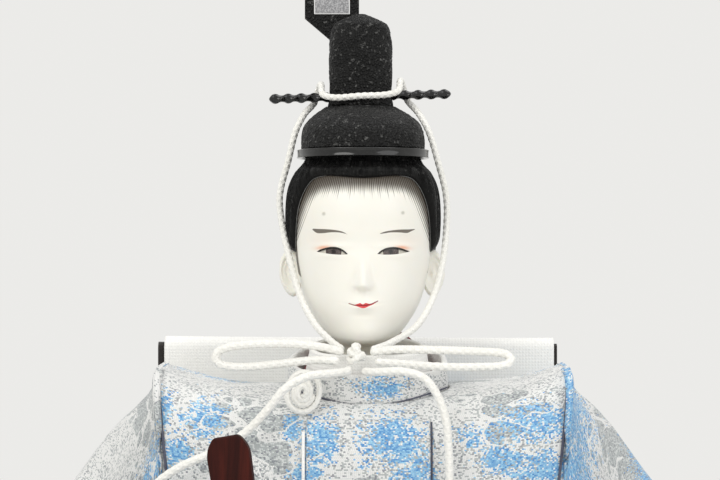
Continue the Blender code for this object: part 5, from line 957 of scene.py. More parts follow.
def add_eyes():
    """A glass lens behind each opening, with its iris, and the inked edge of the upper lid."""
    for side, arcs in EYES.items():
        outline = np.concatenate(arcs)
        low, high = outline.min(0) - 0.5, outline.max(0) + 0.5
        z, x = np.meshgrid(shares(26, low[1], high[1]), shares(60, low[0], high[0]), indexing="ij")
        centre = outline[:, 0].mean() + (0.35 if side == "right" else -0.75)
        surface = head_place(x.reshape(-1), z.reshape(-1)).reshape(*x.shape, 3)
        plane = head_place(x[13], np.full(x.shape[1], 185.3))[None, :, 1]
        bulge = 0.75 * np.clip(1 - ((x - centre) / 7.0) ** 2 - ((z - 185.0) / 4.5) ** 2, 0, 1)
        points = np.stack([x * MM, plane + (1.02 - bulge) * MM + 0 * surface[..., 1], z * MM], 2)
        obj = grid_piece("glass_eye_" + side, points, LOOKS["eye"], None)
        distance = np.hypot(x - centre, (z - 185.2) * 1.0)
        iris = np.clip(0.5 + (2.35 - distance) / 0.8, 0, 1).reshape(-1)
        upper = np.interp(x.reshape(-1), arcs[0][:, 0], arcs[0][:, 1])
        shade = np.clip(0.5 + (0.55 - (upper - z.reshape(-1))) / 1.5, 0, 1)
        pupil = np.clip(0.5 + (0.95 - distance) / 0.9, 0, 1).reshape(-1)
        colour_layer(obj.data, "eye", iris, np.maximum(shade, pupil * 0.62), 0)
        thick = obj.modifiers.new("wall", "SOLIDIFY")
        thick.thickness = 0.0006
        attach(obj, "head")
        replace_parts(obj, "eye_" + side)
        lid = head_place(arcs[0][:, 0], arcs[0][:, 1], -0.02)
        ends = head_place(outline[:1, 0], outline[:1, 1], -0.02), head_place(arcs[1][:1, 0], arcs[1][:1, 1], -0.02)
        path = np.concatenate([lid, ends[1]])
        ring = []
        for index, place in enumerate(path):
            share = index / (len(path) - 1)
            thick = (0.05 + 0.11 * math.sin(math.pi * share) ** 0.7) * MM
            turn = math.tau * np.arange(8) / 8
            ring.append(place + np.stack([0 * turn, np.cos(turn) * thick, np.sin(turn) * thick], 1))
        capped_grid("inked_lid_" + side, np.array(ring), LOOKS["lid_ink"], "head")


def add_ears():
    for side, hand in (("right", -1), ("left", 1)):
        radial, around = np.meshgrid(shares(26, 0.0, 1.0), math.tau * np.arange(72) / 72, indexing="ij")
        layers = []
        for face in (-1, 1):
            r = radial
            lobe = 1 - 0.16 * np.clip(-np.sin(around), 0, 1) ** 2
            across = np.cos(around) * r * 3.6 * lobe
            up = np.sin(around) * r * 7.2 * (1 - 0.05 * np.cos(around))
            depth = 1.5 * np.sqrt(np.clip(1 - r ** 5, 0, 1))
            if face < 0:
                depth = depth + 0.35 * np.exp(-((r - 0.84) / 0.09) ** 2) - 0.75 * np.exp(-((r - 0.32) / 0.26) ** 2)
                depth = depth - 0.30 * np.exp(-((r - 0.66) / 0.07) ** 2) * np.clip(np.sin(around) + 0.6, 0, 1)
            stand = 22.0 + 0.07 * up if hand < 0 else 21.4 + 0.0 * up
            place = np.stack([hand * (stand + across), 3.0 + face * depth + 0.12 * (across + 3.6), 178.5 + up], 2) * MM
            layers.append(place)
        points = np.concatenate([layers[0], layers[1][::-1][1:]])
        obj = capped_grid("ear_" + side, points, LOOKS["gesso"], "head")
        zero = np.zeros(len(obj.data.vertices))
        colour_layer(obj.data, "hairline", zero, 1, 0)
        colour_layer(obj.data, "ink", zero, 0, 0)
        colour_layer(obj.data, "tint", zero, 0, 0)


LOOKS["lid_ink"] = lacquer("lid_ink_look", (0.010, 0.008, 0.007), 0.4)
add_head()
add_eyes()
add_ears()


# Hair

HAIR_TABLE = (
    (0.00, 0.880, 0.700, 0.860), (0.20, 0.940, 0.820, 0.940), (0.40, 0.985, 0.900, 0.990),
    (0.56, 1.000, 0.960, 1.000), (0.72, 0.970, 1.000, 0.970), (0.83, 0.870, 0.945, 0.880),
    (0.89, 0.745, 0.775, 0.770), (0.95, 0.720, 0.750, 0.740), (1.00, 0.660, 0.690, 0.680),
)
HAIR_EDGE = ((0.00, 1.00), (0.24, 1.00), (0.33, 0.82), (0.40, 0.46), (0.46, 0.430), (0.56, 0.430), (0.64, 0.16),
             (0.74, 0.03), (1.00, 0.00))
HAIR_FOOT, HAIR_LINE, HAIR_TOP = 0.1690, 0.2068, 0.2175


def hair_point(angle, level, lift=0.0):
    """A point of the hair: level is 0 at its edge on the skin and 1 under the crown."""
    edge = HAIR_FOOT + (HAIR_LINE - HAIR_FOOT) * read_table(HAIR_EDGE, np.abs(angle) / math.pi)[0]
    height = edge + (HAIR_TOP - edge) * level
    share = (height - HAIR_FOOT) / (HAIR_TOP - HAIR_FOOT)
    width, front, back = read_table(HAIR_TABLE, share)
    half_depth = np.where(np.cos(angle) > 0, front * 0.0252, back * 0.0285)
    outer = ((np.sin(angle) / (width * 0.0235)) ** 2 + (np.cos(angle) / half_depth) ** 2) ** -0.5
    skin = head_radius(angle, height)
    thick = np.maximum(outer - skin, 0.0006)
    from_edge = (height - edge) / 0.0042
    roll = np.sqrt(np.clip(1 - (1 - np.clip(from_edge, 0, 1)) ** 2, 0, 1))
    radius = skin - 0.0002 + (thick + 0.0002) * roll + lift
    return np.stack([radius * np.sin(angle), -radius * np.cos(angle), height], -1)


def add_hair():
    turn = math.tau * np.arange(420) / 420 - math.pi
    level = shares(64, 0, 1) ** 1.7
    level, angle = np.meshgrid(level, turn - 0.25 * np.sin(turn), indexing="ij")
    base = hair_point(angle, level)
    comb = ripple(np.stack([angle * 22, level * 0.6, level * 0], 2), 0.5, 5, (1, 0.3, 0), 8)
    locks = ripple(np.stack([angle * 22, level * 0.5, level * 0], 2), 2.6, 6, (1, 0.2, 0), 6)
    points = hair_point(angle, level, 0.00007 * comb * np.clip(level * 8, 0, 1) + 0.00010 * locks * np.clip(level * 6, 0, 1))
    points[0] = base[0]
    obj = grid_piece("combed_hair", points, LOOKS["hair"], "head", closed=True)
    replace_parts(obj, "hair")
    rng = np.random.RandomState(11)
    verts, faces = [], []
    for number in range(900):
        angle = rng.uniform(-math.pi, math.pi)
        start, end = rng.uniform(0.0, 0.25), rng.uniform(0.75, 1.0)
        level = shares(12, start, end)
        path = hair_point(angle + rng.normal() * 0.03 * (level - start), level, 0.00004 + 0.00005 * rng.rand())
        thick = 0.00006 * np.sin(np.pi * shares(12, 0.02, 0.98)) ** 0.4
        for place, size in zip(path, thick):
            outward = np.array((place[0], place[1], 0.0))
            outward /= np.linalg.norm(outward)
            side = np.array((-outward[1], outward[0], 0.0))
            verts += [place + side * size, place + outward * size, place - side * size]
        base_index = number * 36
        for step in range(11):
            for corner in range(3):
                here, after = base_index + step * 3 + corner, base_index + step * 3 + (corner + 1) % 3
                faces.append((here, after, after + 3, here + 3))
    mesh_object("hair_strands", verts, faces, LOOKS["strand"], "head")


def add_hair_edges():
    """The fine pale line where the painted temples meet the hair."""
    for side, hand in (("right", -1), ("left", 1)):
        angle = shares(90, 0.17, 0.455) * math.pi * hand
        path = hair_point(angle, 0 * angle, 0.0)
        outward = path * (1, 1, 0) / np.linalg.norm(path[:, :2], axis=1, keepdims=True)
        path = path + outward * 0.00055
        turn = math.tau * np.arange(8) / 8
        thick = 0.00010 * np.sin(math.pi * shares(90, 0.03, 0.97))[:, None, None] ** 0.5
        ring = path[:, None] + (outward[:, None] * np.cos(turn)[None, :, None]
                                + np.array((0, 0, 1.0)) * np.sin(turn)[None, :, None]) * thick
        capped_grid("hair_edge_" + side, ring, LOOKS["edge"], "head")


LOOKS["strand"] = crepe("strand_look")
LOOKS["edge"] = plain_cloth("edge_look", (0.30, 0.30, 0.29), (0.16, 0.16, 0.155), 0.6, 0.0005, 0.0, object_coordinates)
add_hair()
add_hair_edges()


# Crown

CAP_TABLE = ((0.00, 1.000, 1.000, 0.00), (0.35, 0.985, 0.960, 0.05), (0.58, 0.930, 0.890, 0.20),
             (0.78, 0.790, 0.770, 0.45), (1.00, 0.570, 0.520, 1.00))
KOJI_TABLE = ((0.00, 1.04, 1.04), (0.12, 0.98, 0.98), (0.40, 1.00, 1.00), (0.68, 0.99, 0.99), (0.84, 0.90, 0.90),
              (0.94, 0.68, 0.68), (1.00, 0.30, 0.30))
RIM_FOOT, KOJI_FOOT, KOJI_HEIGHT = 0.2133, 0.2297, 0.0285
KOJI_X, KOJI_Y = -0.0007, 0.0080


def add_crown():
    turn = math.tau * np.arange(30) / 30
    profile = []
    for angle in turn:
        bulge, lift = math.cos(angle), math.sin(angle)
        profile.append((0.00065 * signed_power(bulge, 0.6), 0.0013 * signed_power(lift, 0.35)))
    profile = np.array(profile)
    profile[:, 0] += 0.00022 * np.exp(-((np.abs(profile[:, 1]) - 0.00105) / 0.00022) ** 2) * (profile[:, 0] > 0)
    centre = np.array((0, 0.0010, RIM_FOOT + 0.0013))
    rings = []
    for wide, lift in profile:
        rings.append(ovals(np.array([centre + (0, 0, lift)]), np.array([(0.01935 + wide, 0, 0)]),
                           np.array([(0, 0.02275 + wide, 0)]), 2.15, 220)[0])
    obj = grid_piece("lacquer_rim", np.array(rings), LOOKS["crown_lacquer"], "head", closed=True, flip=True, loop=True)
    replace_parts(obj, "crown_rim")

    level = np.concatenate([shares(46, 0, 0.97), shares(8, 0.975, 1.0)])
    width, depth, shift = read_table(CAP_TABLE, level)
    base = RIM_FOOT + 0.0026 + 0.0003
    centres = np.stack([KOJI_X * shift, 0.0010 + (KOJI_Y - 0.0010) * shift, base + 0.0132 * level], 1)
    sides = np.stack([0.0188 * width, 0 * width, 0 * width], 1)
    tops = np.stack([0 * depth, 0.0222 * depth, 0 * depth], 1)
    points = ovals(centres, sides, tops, 2.15, 240)
    normal = grid_normals(points, True)
    rough = ripple(points, 0.0011, 21, count=24) * 0.00007 + ripple(points, 0.006, 22) * 0.00008
    points = points + normal * (np.minimum(rough, 0.00012) * np.clip(level * 12, 0, 1)[:, None])[..., None]
    obj = grid_piece("crepe_cap", points, LOOKS["crepe"], "head", closed=True, wall=0.0008)
    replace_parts(obj, "crown_cap")

    level = 1 - (1 - shares(70, 0, 1)) ** 1.35
    width, depth = read_table(KOJI_TABLE, level)
    last = np.sqrt(np.clip((1 - level) / 0.12, 0, 1))
    width, depth = width * np.where(level > 0.88, 0.35 + 0.65 * last, 1), depth * np.where(level > 0.88, 0.35 + 0.65 * last, 1)
    width[-1] = depth[-1] = 0.02
    centres = np.stack([0 * level + KOJI_X, 0 * level + KOJI_Y, KOJI_FOOT + KOJI_HEIGHT * level], 1)
    points = ovals(centres, np.stack([0.0097 * width, 0 * width, 0 * width], 1),
                   np.stack([0 * depth, 0.0085 * depth, 0 * depth], 1), 2.2, 170)
    normal = grid_normals(points, True)
    rough = ripple(points, 0.0011, 31, count=24) * 0.00007 + ripple(points, 0.005, 32) * 0.00009
    points = points + normal * (np.minimum(rough, 0.00012) * np.clip((1 - level) * 12, 0, 1)[:, None])[..., None]
    obj = capped_grid("crepe_koji", points, LOOKS["crepe"], "head")
    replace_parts(obj, "koji")


def add_hairpin():
    start, end = np.array((-0.0289, KOJI_Y, 0.2320)), np.array((0.0271, KOJI_Y, 0.2336))
    axis = (end - start) / np.linalg.norm(end - start)
    side = np.cross(axis, (0, 0, 1))
    top = np.cross(side, axis)
    length = np.linalg.norm(end - start)
    distance = shares(360, 0, length)
    x = start[0] + axis[0] * distance
    edge = np.minimum(distance, length - distance)
    turn = math.pi * distance / 0.0040
    angle = math.tau * np.arange(28) / 28
    outside = soft_step((np.abs(x - KOJI_X) - 0.0094) / 0.0006)[:, None]
    wide = 0.0010 + (0.00145 - 0.0010) * outside
    thin = 0.0010 + (0.00096 - 0.0010) * outside
    rounding = np.sqrt(np.clip(1 - (1 - np.clip(edge / 0.0012, 0, 1)) ** 2, 0.05, 1))[:, None]
    fluting = 1 + 0.07 * outside * np.cos(4 * angle[None])
    across = np.sign(np.cos(angle)) * np.abs(np.cos(angle)) ** 0.8 * wide * rounding * fluting
    along = np.sign(np.sin(angle)) * np.abs(np.sin(angle)) ** 0.8 * thin * rounding * fluting
    cos, sin = np.cos(turn)[:, None], np.sin(turn)[:, None]
    ring = (start + axis * distance[:, None])[:, None] + side * (across * cos - along * sin)[..., None] \
        + top * (across * sin + along * cos)[..., None]
    obj = capped_grid("twisted_pin", ring, LOOKS["crown_lacquer"], "head")
    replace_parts(obj, "kanzashi")


add_crown()
add_hairpin()


# Robe

SHOULDER, SHOULDER_DIP, SHOULDER_HALF = 0.1505, 0.0062, 0.0615
CHEST_HALF, CHEST_LEVEL, CHEST_FRONT, CHEST_BACK, CHEST_SLACK = 0.056, 0.1000, 0.038, 0.030, 0.007
CHEST_TOP = SHOULDER - 0.0380
WAIST, HEM, GAP = 0.062, 0.004, 0.0003


def chest_half_width(height):
    share = np.clip((height - CHEST_LEVEL) / (SHOULDER - CHEST_LEVEL), 0, 1)
    return CHEST_HALF + (SHOULDER_HALF - CHEST_HALF) * share


def ridge_height(across):
    return SHOULDER - SHOULDER_DIP * (1 - np.abs(across) ** 3.6)


def chest_point(across, up, side, low, inset=0.0):
    """up is 0 at the hem, 1 at the chest level, 2 where it rounds and 3 on the ridge."""
    depth = (CHEST_FRONT if side < 0 else CHEST_BACK) - CHEST_SLACK * np.abs(across) ** 3 - inset
    angle = np.clip(up - 2, 0, 1) * math.pi / 2
    top = ridge_height(across) - inset
    height = np.where(up <= 1, low + (CHEST_LEVEL - low) * up, CHEST_LEVEL + (CHEST_TOP - CHEST_LEVEL) * (up - 1))
    height = np.where(up > 2, CHEST_TOP + (top - CHEST_TOP) * np.sin(angle) ** 0.5, height)
    forward = depth * np.where(up > 2, np.clip(np.cos(angle), 0, 1) ** 0.5, 1)
    return np.stack([across * chest_half_width(height), side * (GAP / 2 + forward), height], -1)


COLLAR_X, COLLAR_Y, COLLAR_HALF_WIDTH, COLLAR_HALF_DEPTH = 0.0015, -0.0062, 0.0245, 0.0240

BLUE_PATCHES = (
    (-59, 139, 5, 7), (-46, 137, 8, 7), (-53, 128, 6, 6), (-20, 135, 4, 5), (-12, 131, 8, 9), (-17, 120, 6, 9),
    (5, 146, 9, 4), (9, 131, 13, 9), (15, 119, 9, 9), (32, 132, 7, 4), (50, 136, 15, 7), (52, 122, 10, 8),
    (40, 126, 9, 6), (-38, 104, 12, 9), (3, 104, 12, 7), (32, 96, 11, 9), (-6, 84, 10, 7), (54, 90, 8, 10),
    (-55, 90, 9, 9), (22, 74, 12, 6), (-30, 76, 10, 7),
)
CLOUD_PATCHES = (
    (-34, 137, 17, 6), (-26, 128, 13, 7), (-37, 121, 13, 8), (42, 141, 15, 4), (38, 134, 8, 4), (-2, 117, 10, 5),
    (30, 108, 13, 7), (-18, 92, 15, 8), (14, 88, 11, 6), (48, 106, 10, 7), (-50, 107, 9, 8),
)


def blobs(x, z, patches):
    """Sum of soft ovals given in millimetres, at about 1 in their middles."""
    total = np.zeros(x.shape)
    for centre_x, centre_z, wide, high in patches:
        total = np.maximum(total, np.exp(-(((x - centre_x) / wide) ** 2 + ((z - centre_z) / high) ** 2) * 1.1))
    return total


def pattern_layer(obj, blue, cloud, plain=0.0):
    colour_layer(obj.data, "pattern", blue, cloud, plain)


def vertex_places(obj):
    place = np.empty(len(obj.data.vertices) * 3)
    obj.data.vertices.foreach_get("co", place)
    return place.reshape(-1, 3) / MM


def front_pattern(obj, shown=1.0):
    """Woven pattern of the chest by place; on the back the same cloth runs on from the shoulders."""
    place = vertex_places(obj)
    x, z = place[:, 0], place[:, 2]
    behind = np.clip((place[:, 1] + 6) / 12, 0, 1)
    blue = blobs(x, z, BLUE_PATCHES) * (1 - behind) + behind * drifts(place, 41) * 0.6
    cloud = blobs(x, z, CLOUD_PATCHES) * (1 - behind) + behind * drifts(place, 42)
    pattern_layer(obj, blue * shown, cloud * shown, 1.0 - shown)


def drifts(place, seed):
    """Wide soft patches for cloth that the patches above don't reach."""
    return np.clip(0.45 + 0.55 * ripple(place, 42.0, seed, count=8), 0, 1)


def add_robe():
    front_rows = np.concatenate([shares(60, 0, 1)[:-1], shares(14, 1, 2)[:-1], 3 - (1 - shares(60, 0, 1)) ** 1.0])
    across = signed_power(shares(231, -1, 1), 1.0)
    up, wide = np.meshgrid(front_rows, across, indexing="ij")
    front = chest_point(wide, up, -1, WAIST)
    back_rows = front_rows[::-1]
    up, wide = np.meshgrid(back_rows, across, indexing="ij")
    back = chest_point(wide, up, 1, HEM)
    points = np.concatenate([front, back[1:]])
    normal = grid_normals(points, False)
    folds = ripple(points, 0.030, 51, (1, 1, 0.45), 8) * 0.00035 + ripple(points, 0.009, 52, (1, 1, 0.6), 8) * 0.00008
    edge = np.clip((1 - np.abs(np.concatenate([wide[:1]] * len(points)))) * 12, 0, 1)
    seam = np.exp(-((1 - np.abs(np.concatenate([wide[:1]] * len(points)))) / 0.012) ** 2)
    puff = 0.0011 * np.exp(-((1 - np.abs(np.concatenate([wide[:1]] * len(points)))) / 0.05) ** 2)
    points = points - normal * (folds * edge * 0.8 + 0.0004 * seam * 0 - 0.0)[..., None]
    points[..., 2] += np.where(points[..., 2] > SHOULDER - 0.012, puff * 0.35, 0)
    rows, columns = points.shape[:2]
    flat = points.reshape(-1, 3)
    row, column = np.meshgrid(np.arange(rows - 1), np.arange(columns - 1), indexing="ij")
    row, column = row.reshape(-1), column.reshape(-1)
    faces = np.stack([row * columns + column, row * columns + column + 1, (row + 1) * columns + column + 1,
                      (row + 1) * columns + column], 1)
    oval = lambda p: ((p[..., 0] - COLLAR_X) / (COLLAR_HALF_WIDTH + GAP)) ** 2 + ((p[..., 1] - COLLAR_Y) / (COLLAR_HALF_DEPTH + GAP)) ** 2
    middle = flat[faces].mean(1)
    hole = (oval(middle) < 1) & (middle[:, 2] > 0.128)
    rim = np.intersect1d(faces[hole], faces[~hole])
    offset = flat[rim, :2] - (COLLAR_X, COLLAR_Y)
    flat[rim, :2] = (COLLAR_X, COLLAR_Y) + offset / np.sqrt(oval(flat[rim]))[:, None]
    obj = grid_piece("brocade_robe", points, LOOKS["brocade"], "trunk", wall=0.0015, keep=~hole)
    front_pattern(obj)
    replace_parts(obj, "robe_front", "robe_back")
    for side, hand in (("right", -1), ("left", 1)):
        up = np.concatenate([shares(50, 0, 2)[:-1], shares(30, 2, 2.965)])
        edges = [chest_point(np.full(len(up), float(hand)), up, face, HEM) for face in (-1, 1)]
        depth = shares(24, 0, 1)[None, :, None]
        points = edges[0][:, None] * (1 - depth) + edges[1][:, None] * depth
        bow = np.sin(depth[..., 0] * math.pi) ** 0.5 * 0.0004 * np.clip((2.9 - up[:, None]) / 0.4, 0, 1)
        points[..., 0] -= hand * bow
        panel = grid_piece("brocade_side_" + side, points, LOOKS["brocade"], "trunk", wall=0.0015, flip=hand < 0)
        place = vertex_places(panel)
        pattern_layer(panel, drifts(place, 43), drifts(place, 44))


def panel_point(x, height, lift):
    across = x / chest_half_width(height)
    depth = CHEST_FRONT - CHEST_SLACK * np.abs(across) ** 3
    rise = np.clip((height - CHEST_TOP) / (ridge_height(across) - CHEST_TOP), 0, 1)
    depth = depth * (1 - rise ** 4) ** 0.25
    return np.stack([x + 0 * height, -(GAP / 2 + depth + lift), height + 0 * x], -1)


def add_front():
    """The overlapping panel, tucked under the collar band, with its piping."""
    height, x = np.meshgrid(shares(130, 0.0693, 0.1372), shares(110, -0.0163, 0.0193), indexing="ij")
    lift = 0.0003 + 0.0011 + 0 * x
    edge = np.minimum((x + 0.0163), (0.0193 - x))
    lift -= 0.0007 * (1 - np.sqrt(np.clip(1 - (1 - np.clip(edge / 0.0009, 0, 1)) ** 2, 0, 1)))
    points = panel_point(x, height, lift)
    points[..., 1] += ripple(points, 0.020, 61, (1, 1, 0.3), 6) * 0.00018
    obj = grid_piece("brocade_panel", points, LOOKS["brocade"], "trunk", wall=0.0009)
    front_pattern(obj)
    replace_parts(obj, "front_overlap")
    height = shares(200, 0.0693, 0.1338)
    path = panel_point(np.full(200, -0.01705), height, 0.0010)
    turn = math.tau * np.arange(14) / 14
    ring = path[:, None] + np.stack([np.cos(turn) * 0.00048, np.sin(turn) * 0.00055, 0 * turn], 1)[None]
    obj = capped_grid("white_piping", ring, LOOKS["white_silk"], "trunk")
    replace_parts(obj, "front_piping")


def add_seams_and_shadow():
    """Dark lines down the panel's edge and at both armholes, and a painted shadow of the crease at the foot of the
    collar band.
    """
    turn = math.tau * np.arange(8) / 8
    circle = np.stack([np.cos(turn), np.sin(turn), 0 * turn], 1)
    height = shares(150, 0.0700, 0.1365)
    down = panel_point(np.full(150, 0.0196), height, 0.0007)
    capped_grid("panel_seam", down[:, None] + circle[None] * 0.00022, LOOKS["seam"], "trunk")
    for side, hand in (("right", -1), ("left", 1)):
        armhole = chest_point(np.full(150, float(hand)), shares(150, 0.55, 2.72), -1, WAIST)
        armhole += (-hand * 0.0017, -0.0010, 0)
        capped_grid("armhole_seam_" + side, armhole[:, None] + circle[None] * 0.0004, LOOKS["seam"], "trunk")
    # the line at the foot of the collar band is a painted shadow: a dark tube laid in the crease where the band meets
    # the robe
    angle = shares(170, -0.86, -0.10) * math.pi
    half = np.array((COLLAR_HALF_WIDTH, COLLAR_HALF_DEPTH)) + 0.0002
    x, y = COLLAR_X + np.cos(angle) * half[0], COLLAR_Y + np.sin(angle) * half[1]
    across = np.clip(x / SHOULDER_HALF, -1, 1)
    reach = np.clip(-y / (CHEST_FRONT - CHEST_SLACK * np.abs(across) ** 3), 0, 1)
    top = ridge_height(across)
    z = CHEST_TOP + (top - CHEST_TOP) * (1 - reach ** 4) ** 0.25
    path = np.stack([x, y, z + 0.0004], 1)
    path = path[y < -0.004]
    around = np.stack([np.cos(turn), 0 * turn, np.sin(turn)], 1)
    capped_grid("collar_crease_shadow", path[:, None] + around[None] * 0.00024, LOOKS["seam"], "trunk")


def collar_ring(margin, side_lean, level, height, rise, ease, count=240):
    """A ring of the collars, lifted towards the nape by the rise and leaning in as it climbs."""
    angle = math.tau * (np.arange(count) + 0.5) / count
    climb = (height + rise * soft_step((np.sin(angle) + 1) / 2) ** ease) * level
    half_width = COLLAR_HALF_WIDTH - margin - side_lean * climb / 0.0188
    half_depth = COLLAR_HALF_DEPTH - margin - 0.0008 * climb / 0.0188
    return np.stack([COLLAR_X + np.cos(angle) * half_width, COLLAR_Y + np.sin(angle) * half_depth,
                     NECK_SEAT + GAP + climb], 1)


def add_collar(name, source, margin, wall, side_lean, height, rise, material, layers=1, ease=1):
    """A folded band round the neck: up the outside, rounded over the top and down the inside."""
    half = wall / 2
    rings = []
    for level in shares(40, 0, 1):
        step = 0.00022 * ((level * layers) % 1.0) if layers > 1 else -0.00018 * math.sin(math.pi * level)
        rings.append(collar_ring(margin + step, side_lean, level, height - half, rise, ease))
    for angle in shares(12, 0, math.pi)[1:]:
        ring = collar_ring(margin + half * (1 - math.cos(angle)), side_lean, 1.0, height - half, rise, ease)
        ring[:, 2] += half * math.sin(angle)
        rings.append(ring)
    for level in shares(20, 1, 0)[1:]:
        rings.append(collar_ring(margin + wall, side_lean, level, height - half, rise, ease))
    points = np.array(rings)
    normal = grid_normals(points, True)
    points = points - normal * np.abs(ripple(points, 0.012, 71 + int(margin * 1e5), count=8) * 0.00016)[..., None]
    obj = grid_piece(name, points, material, "trunk", closed=True, loop=True)
    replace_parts(obj, source)
    return obj


def add_collars():
    band = add_collar("brocade_collar", "collar_band", 0.0, 0.0018, 0.0008, 0.0134, 0.0070, LOOKS["brocade"])
    place = vertex_places(band)
    reach = ((place[:, 0] - 1.5) / 23.7) ** 2 + ((place[:, 1] + 6.2) / 23.2) ** 2
    front_pattern(band, (reach > 1).astype(float))
    add_collar("red_collar", "collar_red", 0.0021, 0.0012, 0.0030, 0.0105, 0.0147, LOOKS["red_silk"], ease=4)
    add_collar("white_collar", "collar_white", 0.0036, 0.0020, 0.0030, 0.0188, 0.0035, LOOKS["white_silk"], layers=3)


# dark navy look for the lines down the panel's edge and at the armholes, and for the painted crease shadow at the foot
# of the collar band
LOOKS["seam"] = plain_cloth("seam_and_shadow_look", (0.13, 0.14, 0.18), (0.06, 0.06, 0.09), 0.9, 0.0005, 0.0, object_coordinates)
add_robe()
add_front()
add_collars()
add_seams_and_shadow()


# Sleeves

SLEEVE_TOP = ((0.00, 0.395, 0.000, 0.985), (0.25, 0.553, -0.061, 0.787), (0.50, 0.684, -0.245, 0.610),
              (0.75, 0.540, -0.640, 0.550), (1.00, 0.276, -0.857, 0.545))
SLEEVE_FOOT = ((0.00, 0.372, 0.000, 0.585), (0.25, 0.737, 0.020, 0.300), (0.50, 0.990, -0.225, 0.040),
               (0.75, 0.850, -0.800, 0.010), (1.00, 0.580, -0.985, 0.060))
SLEEVE_SECTION = ((0.00, 90.0, 1.00, 4.0), (0.25, 62.0, 0.86, 3.0), (0.50, 5.0, 0.62, 2.6), (0.75, -42.0, 0.48, 2.6),
                  (1.00, -62.0, 0.42, 2.8))
SPREAD, FORWARD, SLEEVE_DEPTH, SLEEVE_FLOOR = 0.152, 0.098, 0.0285, 0.0015
# The outer edge of the upper arm in the photograph: its corner at the shoulder, its height and its slope
UPPER_ARM = (0.0647, 0.1497, 0.6435)


def sleeve_line(table, share):
    x, y, z = read_table(table, share)
    return np.stack([x * SPREAD, y * FORWARD, SLEEVE_FLOOR + z * SHOULDER], -1)


def sleeve_rings(hand, share, inset, count):
    beyond = np.maximum(share - 1.0, 0)[:, None]
    share = np.minimum(share, 1.0)
    top, foot = sleeve_line(SLEEVE_TOP, share), sleeve_line(SLEEVE_FOOT, share)
    turn, depth, power = read_table(SLEEVE_SECTION, share)
    heading = sleeve_line(SLEEVE_TOP, 1.0) - sleeve_line(SLEEVE_TOP, 0.96)
    heading = heading / np.linalg.norm(heading) * (1, 1, 0)
    top, foot = top + heading * beyond * FORWARD, foot + heading * beyond * FORWARD
    outward = np.stack([np.cos(np.radians(turn)), np.sin(np.radians(turn)), 0 * turn], -1)
    along = (top - foot) / 2
    shrink = 1 - inset / np.linalg.norm(along, axis=1, keepdims=True)
    centre = (top + foot) / 2
    centre[:, 1] += np.where(share < 0.25, (CHEST_BACK - CHEST_FRONT) / 2 * (1 - share / 0.25), 0)
    points = ovals(centre, outward * (SLEEVE_DEPTH * depth - inset)[:, None], along * shrink, power, count)
    first = share == 0
    points[first, :, 0] = chest_half_width(points[first, :, 2]) + GAP
    points[..., 0] *= hand
    return points


def add_sleeves():
    for side, hand in (("right", -1), ("left", 1)):
        share = np.concatenate([[0.0], shares(130, 0.004, 1.0)])
        points = sleeve_rings(hand, share, 0.0, 150)
        normal = grid_normals(points, True) * hand
        seed = 80 if hand < 0 else 90
        lines = ripple(points, 0.034, seed, (1, 1, 0.35), 9) * 0.0010 + ripple(points, 0.012, seed + 1, (1, 1, 0.4), 9) * 0.00022
        ease = np.clip(share / 0.06, 0, 1)[:, None] * np.clip((1 - share) / 0.02, 0.15, 1)[:, None]
        sag = 0.0010 * np.exp(-((share - 0.05) / 0.035) ** 2)[:, None]
        swell = (1.4 * soft_step((share - 0.70) / 0.12) - 0.75)[:, None]
        points = points + normal * ((np.abs(lines) * swell - sag) * ease)[..., None]
        edge = UPPER_ARM[0] + (UPPER_ARM[1] - points[..., 2]) * UPPER_ARM[2]
        beyond = np.maximum(np.abs(points[..., 0]) - edge, 0) * soft_step((points[..., 2] - 0.090) / 0.018)
        points[..., 0] -= hand * beyond * 0.75 * soft_step(share / 0.05)[:, None]
        points[..., 2] = np.minimum(points[..., 2], UPPER_ARM[1])
        rows = len(share)
        roll = points[-1][None] - normal[-1][None] * (0.00075 * (1 - np.cos(shares(7, 0, math.pi)))[1:, None, None])
        push = points[-1] - points[-2]
        push = push / np.linalg.norm(push, axis=1, keepdims=True)
        roll = roll + push[None] * (0.00075 * np.sin(shares(7, 0, math.pi))[1:, None, None])
        inside = (points - normal * 0.0015)[::-1][1:]
        obj = grid_piece("brocade_sleeve_" + side, np.concatenate([points, roll, inside]), LOOKS["brocade"], "trunk",
                         closed=True, flip=hand < 0, loop=True)
        place = vertex_places(obj)
        x, z = place[:, 0], place[:, 2]
        near = np.exp(-((np.abs(x) - 60) / 9) ** 2) * (z > 110)
        blue = np.maximum(drifts(place, 45) * 0.8, near * (0.95 if hand > 0 else 0.72))
        cloud = drifts(place, 46)
        if hand < 0:
            blue = blue * np.clip((128 - z + (x + 60) * 0.3) / 14 + np.exp(-((x + 57) / 7) ** 2), 0, 1)
        pattern_layer(obj, blue, cloud)
        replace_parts(obj, "sleeve_" + side)
        inset, end = 0.0019, 1.0
        for layer, look in (("white", "white_silk"), ("red", "red_silk")):
            end += 0.0016 / FORWARD
            share = shares(30, 0.84, end)
            outer = sleeve_rings(hand, share, inset, 150)
            inner = sleeve_rings(hand, share, inset + 0.0009, 150)[::-1]
            middle = sleeve_rings(hand, share[-1:] + 0.0004 / FORWARD, inset + 0.00045, 150)
            obj = grid_piece("cuff_" + layer + "_" + side, np.concatenate([outer, middle, inner]), LOOKS[look], "trunk",
                             closed=True, flip=hand < 0, loop=True)
            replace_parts(obj, "under_sleeve_" + layer + "_" + side)
            inset += 0.0012


add_sleeves()


# Train

